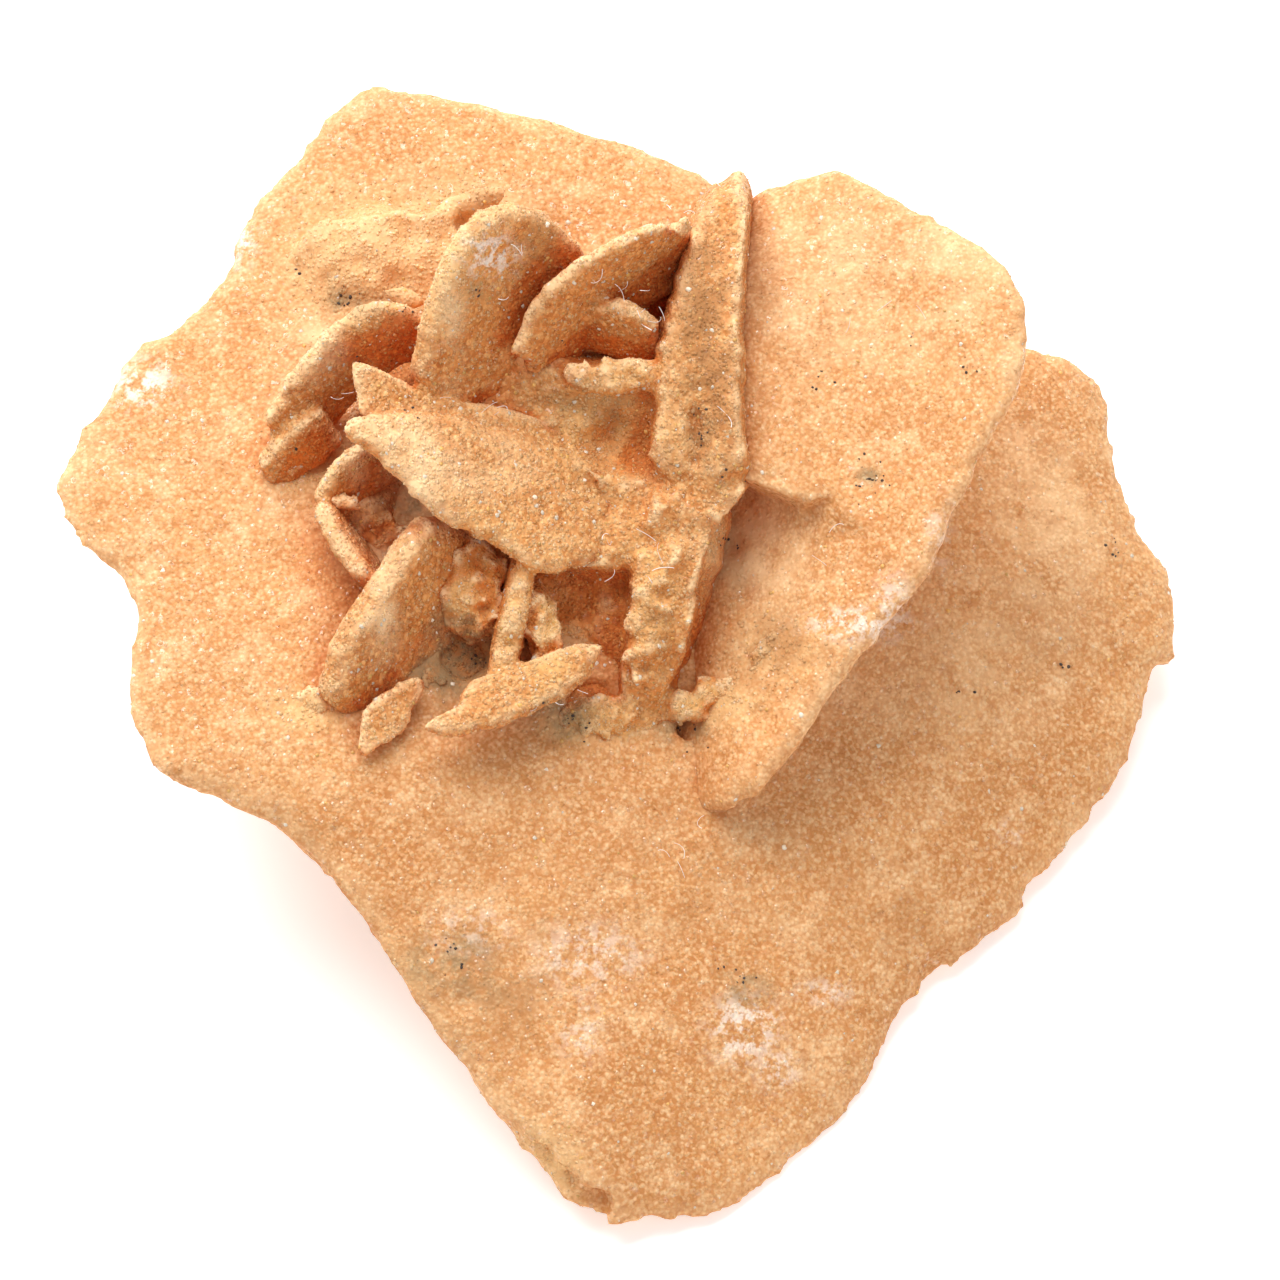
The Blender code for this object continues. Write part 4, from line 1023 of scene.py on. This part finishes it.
def enclosed(pieces, shares):
    """Stores how shut in each place is by the shapes around it, from 0 in the open to 1, for painted shade.
    """
    whole = joined("probe", [piece.data.copy() for piece in pieces])
    tree = BVHTree.FromObject(whole, bpy.context.evaluated_depsgraph_get())
    draw = random.Random(77)
    ways = [Vector([draw.gauss(0, 1) for _ in range(3)]).normalized() for _ in range(LOOKS)]
    for piece in pieces:
        mesh, strength = piece.data, shares.get(piece.name, 1.0)
        picked = draw.sample(range(len(mesh.vertices)), min(MOST_LOOKED_FROM, len(mesh.vertices)))
        known = KDTree(len(picked))
        values = []
        for index, number in enumerate(picked):
            vertex = mesh.vertices[number]
            start = vertex.co + LOOK_LIFT * vertex.normal
            met = total = 0.0
            for way in ways:
                slant = way.dot(vertex.normal)
                if slant < 0.15:  # too near the surface's own plane
                    continue
                total += slant
                far = tree.ray_cast(start, way, LOOK_REACH)[3]
                if far is not None:
                    met += slant * (1 - far / LOOK_FADE)
            known.insert(vertex.co, index)
            values.append(strength * met / total if total else 0.0)
        known.balance()
        spread = np.zeros(len(mesh.vertices), np.float32)
        for number, vertex in enumerate(mesh.vertices):
            near = known.find_n(vertex.co, 4)
            weights = [1 / (0.05 + far) for _, _, far in near]
            spread[number] = sum(w * values[i] for w, (_, i, _) in zip(weights, near)) / sum(weights)
        mesh.attributes.new("enclosed", "FLOAT", "POINT").data.foreach_set("value", spread)
    bpy.data.objects.remove(whole, do_unlink=True)


def covered(piece, amounts):
    """Stores how thickly grains lie: a base amount, and more where the surface is sandy."""
    mesh = piece.data
    count = len(mesh.vertices)
    sandy, convexity = np.zeros(count, np.float32), np.zeros(count, np.float32)
    mesh.attributes["sandy"].data.foreach_get("value", sandy)
    mesh.attributes["convexity"].data.foreach_get("value", convexity)
    base, on_sand, on_top, grainy = amounts
    normals = np.zeros(count * 3, np.float32)
    mesh.vertices.foreach_get("normal", normals)
    upward = np.clip(normals.reshape(-1, 3) @ np.array(OUTWARD) * 1.2 + 0.35, 0.25, 1)
    cover = base * upward + on_sand * sandy + on_top * np.clip(convexity * 3, 0, 1)
    cover += 1.2 * base * np.clip(-convexity * 4, 0, 1)
    mesh.attributes.new("cover", "FLOAT", "POINT").data.foreach_set("value", cover.astype(np.float32))
    grainy = np.clip(grainy + 0.1 * sandy, 0, 1)
    mesh.attributes.new("grainy", "FLOAT", "POINT").data.foreach_set("value", grainy.astype(np.float32))
    return piece


def main_shells():
    """The main blade's two layers, and the rough sandy patch on it."""
    def above(across, up):
        return main_face(across, up) + 3

    def ledge(across, up):
        return main_face(across, up) - LEDGE_DEPTH

    upper = faced_blade(MAIN_OUTLINE, main_face, 0, MAIN_THICK, MAIN_RIM, 1, rings=30, ragged=0.11)
    scoops = []
    for (across, up), (along, wide), turn, depth in CHIPS:
        middle = across, up, main_face(across, up) - 1.0 - depth + CHIP_HEIGHT
        scoops.append(lump(middle, (along, wide, CHIP_HEIGHT), 3, math.radians(turn), 0.35, 3))
    scoops.append(column(LEDGE_OUTLINE, above, ledge, 9, ragged=0.06))
    for middle, size, turn in HOLLOWS:
        scoops.append(lump(middle, size, 5, math.radians(turn), 0.5, 3))
    upper = cut(upper, scoops)
    lower = faced_blade(
        SHELF_OUTLINE, main_face, SHELF_DEPTH, SHELF_THICK, SHELF_RIM, 2, turns=10, rings=24
    )
    patch = lump((-12.3, 18.8, -8.5), (4.2, 2.8, 1.1), 55, math.radians(15), 0.3)
    heaps = [crumbs(*heap, 80 + seed) for seed, heap in enumerate(MAIN_CRUMBS)]
    return [upper, lower, patch, *heaps]


def page_shells():
    """The page blade, one body with a face of its own."""
    def back(across, up):
        return page_face(across, up) - 2.1 - 1.0 * math.exp(-((across - 8) ** 2 + (up - 8) ** 2) / 60)
    return [column(PAGE_OUTLINE, page_front, back, 3, rings=60, power=12, ragged=0.13)]


def ridge_shells():
    """The ridge, the bed of sand, and the lumps and crumbs on it."""
    def back(across, up):
        return main_face(across, up) - 1.5
    return [
        column(RIDGE_OUTLINE, ridge_face, back, 4, power=16),
        column(BROKEN_OUTLINE, broken_face, back, 5, power=30, ragged=0.16),
        column(
            BED_OUTLINE, lambda a, u: max(bed_height(a, u), main_face(a, u) - 0.9), back, 6,
            rings=70, crowding=0.8,
        ),
        *(
            lump(middle, size, 40 + seed, math.radians(turn), 0.9)
            for seed, (middle, size, turn) in enumerate(SAND.values())
        ),
        *(crumbs(*heap, 100 + seed) for seed, heap in enumerate(CRUMBS)),
    ]


def petal_shells():
    """The petals, and the two thin sheets on edge."""
    made = []
    for seed, (outline, level, across_slope, up_slope, middle, rim) in enumerate(PETALS.values()):
        places = slanted(outline, level, across_slope, up_slope)
        made.append(blade(places, middle, rim, 20 + seed, rings=20, ragged=0.13))
    for seed, (crest, way, steep, length, middle, rim) in enumerate(HANGING.values()):
        places = hung(crest, way, steep, length)
        made.append(blade(places, middle, rim, 90 + seed, rings=22, rough=0.08, ragged=0.13))
    knife, strut = ([board(*place) for place in sheet_outline] for sheet_outline in (KNIFE, STRUT))
    made.append(blade(knife, 1.3, 1.0, 6, front=(1, 0.6, 0)))
    made.append(blade(strut, 1.6, 1.1, 7, front=(1, 0.2, 0), ragged=0.3))
    return made


def underside_shells():
    """The rosette underneath, and the sandy core that holds it."""
    made = []
    for seed, measures in enumerate(SKIRT.values()):
        turn, away, height, lean, twist, wide, tall, thick, rim = measures
        turn, lean, facing = math.radians(turn), math.radians(lean), math.radians(turn + twist)
        outward = Vector((math.cos(turn), math.sin(turn), 0))
        normal = Vector((math.cos(facing), math.sin(facing), math.tan(lean))).normalized()
        middle = Vector((*CORE, height)) + outward * away - OFFSET
        places = disc_outline(middle, normal, wide, tall, seed + 1)
        made.append(blade(places, thick, rim, 60 + seed, front=normal, rings=18))
    up, out = CORE[1] * math.sin(LEAN), -CORE[1] * math.cos(LEAN)
    core = CORE[0], up - CORE_DROP * math.cos(LEAN), out - CORE_DROP * math.sin(LEAN)
    made.append(lump(core, CORE_SIZE, 70, rough=0.3))
    return made


def kept_above_table(piece):
    """Flattens what would reach below the table."""
    mesh = piece.data
    places = np.zeros(len(mesh.vertices) * 3, np.float32)
    mesh.vertices.foreach_get("co", places)
    places = places.reshape(-1, 3)
    places[:, 2] = np.maximum(places[:, 2], 0.0)
    mesh.vertices.foreach_set("co", places.ravel())
    mesh.update()
    return piece


def finished(piece, material=None):
    """The piece in metres, dressed and riding on the rose."""
    piece.data.transform(Matrix.Scale(MM, 4))
    if material:
        piece.data.materials.clear()
        piece.data.materials.append(material)
    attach(piece, "root")
    return piece


def scattered(source, name, tree, **values):
    """A new piece: what the grain tree lays on a copy of the source."""
    copy = piece_of(name, source.data.copy())
    return run_tree(copy, tree, name, **values)


def specks(surface, seed):
    """Little dark grains at the places where they lie."""
    tree = BVHTree.FromObject(surface, bpy.context.evaluated_depsgraph_get())
    draw = random.Random(seed)
    shape = bmesh.new()
    for (across, up), spread, count in SPECKS:
        for _ in range(count):
            start = board(across + draw.gauss(0, spread), up + draw.gauss(0, spread), 30)
            hit, normal, _, _ = tree.ray_cast(start, -OUTWARD)
            if hit is None:
                continue
            size = draw.uniform(0.09, 0.26)
            turn = Matrix.Rotation(draw.uniform(0, 6.28), 4, Vector((draw.random(), 1, draw.random())))
            grain = Matrix.Translation(hit - 0.1 * size * normal) @ turn @ Matrix.Diagonal(
                (size, size * draw.uniform(0.5, 1), size * draw.uniform(0.5, 1), 1)
            )
            bmesh.ops.create_icosphere(shape, subdivisions=1, radius=0.5, matrix=grain)
    return kept_mesh(shape)


def lint():
    """Fine pale fibres caught on the petals: each a thin tube along a bent line."""
    draw = random.Random(12)
    corners = [2 * math.pi * corner / 3 for corner in range(3)]
    shape = bmesh.new()
    for (across, up, out), spread, count, length in LINT:
        for _ in range(count):
            place = board(
                across + draw.gauss(0, spread), up + draw.gauss(0, spread), out + draw.gauss(0, 0.3)
            )
            way = board(draw.gauss(0, 1), draw.gauss(0, 1), draw.gauss(0, 0.35)) - board(0, 0, 0)
            way.normalize()
            bend = Vector([draw.gauss(0, 0.28) for _ in range(3)])
            steps, radius, before = 9, draw.uniform(0.012, 0.019), None
            for _ in range(steps):
                side = way.orthogonal().normalized()
                other = way.cross(side)
                ring = [
                    shape.verts.new(place + radius * (math.cos(turn) * side + math.sin(turn) * other))
                    for turn in corners
                ]
                if before:
                    for first in range(3):
                        second = (first + 1) % 3
                        shape.faces.new((before[first], before[second], ring[second], ring[first]))
                else:
                    shape.faces.new(ring[::-1])
                before = ring
                place = place + way * length * draw.uniform(0.7, 1.2) / steps
                way = (way + bend).normalized()
            shape.faces.new(before)
    bmesh.ops.recalc_face_normals(shape, faces=shape.faces)
    return kept_mesh(shape)


def build_rose():
    """All pieces of the rose: five weathered bodies, and the grains, specks and fibres on them."""
    weather, grains = weathering_tree(), grain_tree()
    stone = sandstone("sandy_gypsum", (0.73, 0.375, 0.145), (0.56, 0.24, 0.07), (0.90, 0.60, 0.33))
    quartz = plain_grain("pale_quartz_grain", (0.92, 0.74, 0.54), 0.25, 0.6, 0.25)
    amber = plain_grain("amber_grain", (0.85, 0.45, 0.12), 0.3, 0.4)
    dark = plain_grain("dark_mineral_grain", (0.07, 0.045, 0.03), 0.6, variation=0.5)
    coarseness, few = ((1.0, 1.0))
    plan = {  # shells, voxel, smoothing, weathering, grain cover
        "main_blade": (
            main_shells(), 0.33, 2,
            dict(Swell=0.22, Relief=0.09, Seed=1.0), (0.40, 1.4, 0.7, 0.45),
        ),
        "page_blade": (
            page_shells(), 0.22, 3,
            dict(Swell=0.16, Relief=0.07, Seed=2.0), (0.55, 1.3, 0.9, 0.4),
        ),
        "sandy_ridge": (
            ridge_shells(), 0.20, 1,
            dict(Swell=0.06, Relief=0.16, Relief_Size=0.6, Pit_Depth=0.14, Seed=5.0), (2.4, 1.4, 1.4, 0.85),
        ),
        "petals": (
            petal_shells(), 0.18, 1,
            dict(Swell=0.08, Relief=0.16, Relief_Size=0.6, Pit_Depth=0.12, Seed=3.0), (2.8, 1.0, 2.2, 0.9),
        ),
        "underside_blades": (
            underside_shells(), 0.36, 3,
            dict(Swell=0.2, Relief=0.10, Seed=4.0), (0.4, 0, 0.3, 0.6),
        ),
    }
    bodies = []
    for name, (shells, voxel, smoothing, wear, cover) in plan.items():
        piece = remeshed(joined(name, shells), voxel * coarseness, smoothing)
        piece = run_tree(piece, weather, name, **wear)
        piece = covered(spotted(kept_above_table(piece)), cover)
        bodies.append(piece)
    enclosed(bodies, {"page_blade": 0.5, "main_blade": 0.6, "sandy_ridge": 1.0})
    made = []
    fine = dict(Contrast=0.35, Smallest=0.10, Largest=0.24)
    for seed, piece in enumerate(bodies):
        sand = scattered(
            piece, piece.name + "_sand", grains, Density=5.2 * few, Seed=10 + seed, Material=stone,
            **({} if piece.name in ("sandy_ridge", "petals") else fine),
        )
        pale = scattered(
            piece, piece.name + "_quartz", grains, Density=0.26 * few, Seed=30 + seed, Material=quartz,
            Smallest=0.14, Largest=0.50, Rounded=True, Sink=0.3,
        )
        gold = scattered(
            piece, piece.name + "_amber", grains, Density=0.12 * few, Seed=50 + seed, Material=amber,
            Smallest=0.18, Largest=0.36, Rounded=True, Sink=0.2,
        )
        made += [sand, pale, gold]
        if piece.name != "underside_blades":
            made.append(scattered(
                piece, piece.name + "_coarse_sand", grains, Density=9.0 * few, Seed=70 + seed,
                Material=stone, Cover="sandy", Smallest=0.15, Largest=0.36, Rounded=True, Sink=0.15,
            ))
    whole = joined("probe", [piece.data.copy() for piece in bodies])
    spots = piece_of("dark_specks", specks(whole, 5))
    bpy.data.objects.remove(whole, do_unlink=True)
    for piece in bodies:
        finished(piece, stone)
        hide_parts("sand_rose")
    for piece in made:
        finished(kept_above_table(piece))
    finished(spots, dark)
    finished(piece_of("lint", lint()), plain_grain("lint_fibre", (0.88, 0.84, 0.80), 0.5, variation=0.0))


# --------------------------------------------------------------------------- floor, light, camera

def floor_and_light():
    """A pale floor, a window behind it, and a weak reflector in front."""
    shape = bmesh.new()
    bmesh.ops.create_grid(shape, x_segments=1, y_segments=1, size=FLOOR_HALF)
    floor = piece_of("floor", kept_mesh(shape))
    material, tree, shader = new_material("pale_floor")
    shader.inputs["Base Color"].default_value = (0.93, 0.93, 0.93, 1)
    shader.inputs["Roughness"].default_value = 0.9
    shader.inputs["Emission Color"].default_value = (1, 1, 1, 1)
    shader.inputs["Emission Strength"].default_value = 0.36
    floor.data.materials.append(material)

    world = bpy.data.worlds.new("studio")
    world.use_nodes = True
    world.node_tree.nodes["Background"].inputs["Color"].default_value = (1, 1, 1, 1)
    world.node_tree.nodes["Background"].inputs["Strength"].default_value = 0.50
    bpy.context.scene.world = world

    for name, towards, distance, size, power in (
        ("window behind", (-0.26, 0.57, 0.84), 0.8, 0.80, 11.0),
        ("reflector in front", (0.5, -0.8, 0.9), 0.8, 0.50, 1.2),
    ):
        place = Vector(towards).normalized() * distance
        lamp = bpy.data.lights.new(name, "AREA")
        lamp.shape, lamp.size, lamp.energy = "SQUARE", size, power
        lit = bpy.data.objects.new(name, lamp)
        lit.location = place
        lit.rotation_euler = (-place).to_track_quat("-Z", "Y").to_euler()
        bpy.context.scene.collection.objects.link(lit)


def camera():
    """Looks square at the board, from so far off that perspective hardly shows."""
    target = board(0, 0, 0) * MM
    lens = bpy.data.cameras.new("camera")
    lens.sensor_width = 36.0
    lens.lens = lens.sensor_width * EYE_DISTANCE / VIEW_WIDTH
    lens.clip_start, lens.clip_end = 0.05, 10
    eye = bpy.data.objects.new("camera", lens)
    eye.location = target + OUTWARD * EYE_DISTANCE
    eye.rotation_euler = (math.radians(90) - LEAN, 0, 0)
    bpy.context.scene.collection.objects.link(eye)
    bpy.context.scene.camera = eye
    bpy.context.scene.view_settings.view_transform = "Standard"


camera()
floor_and_light()
build_rose()
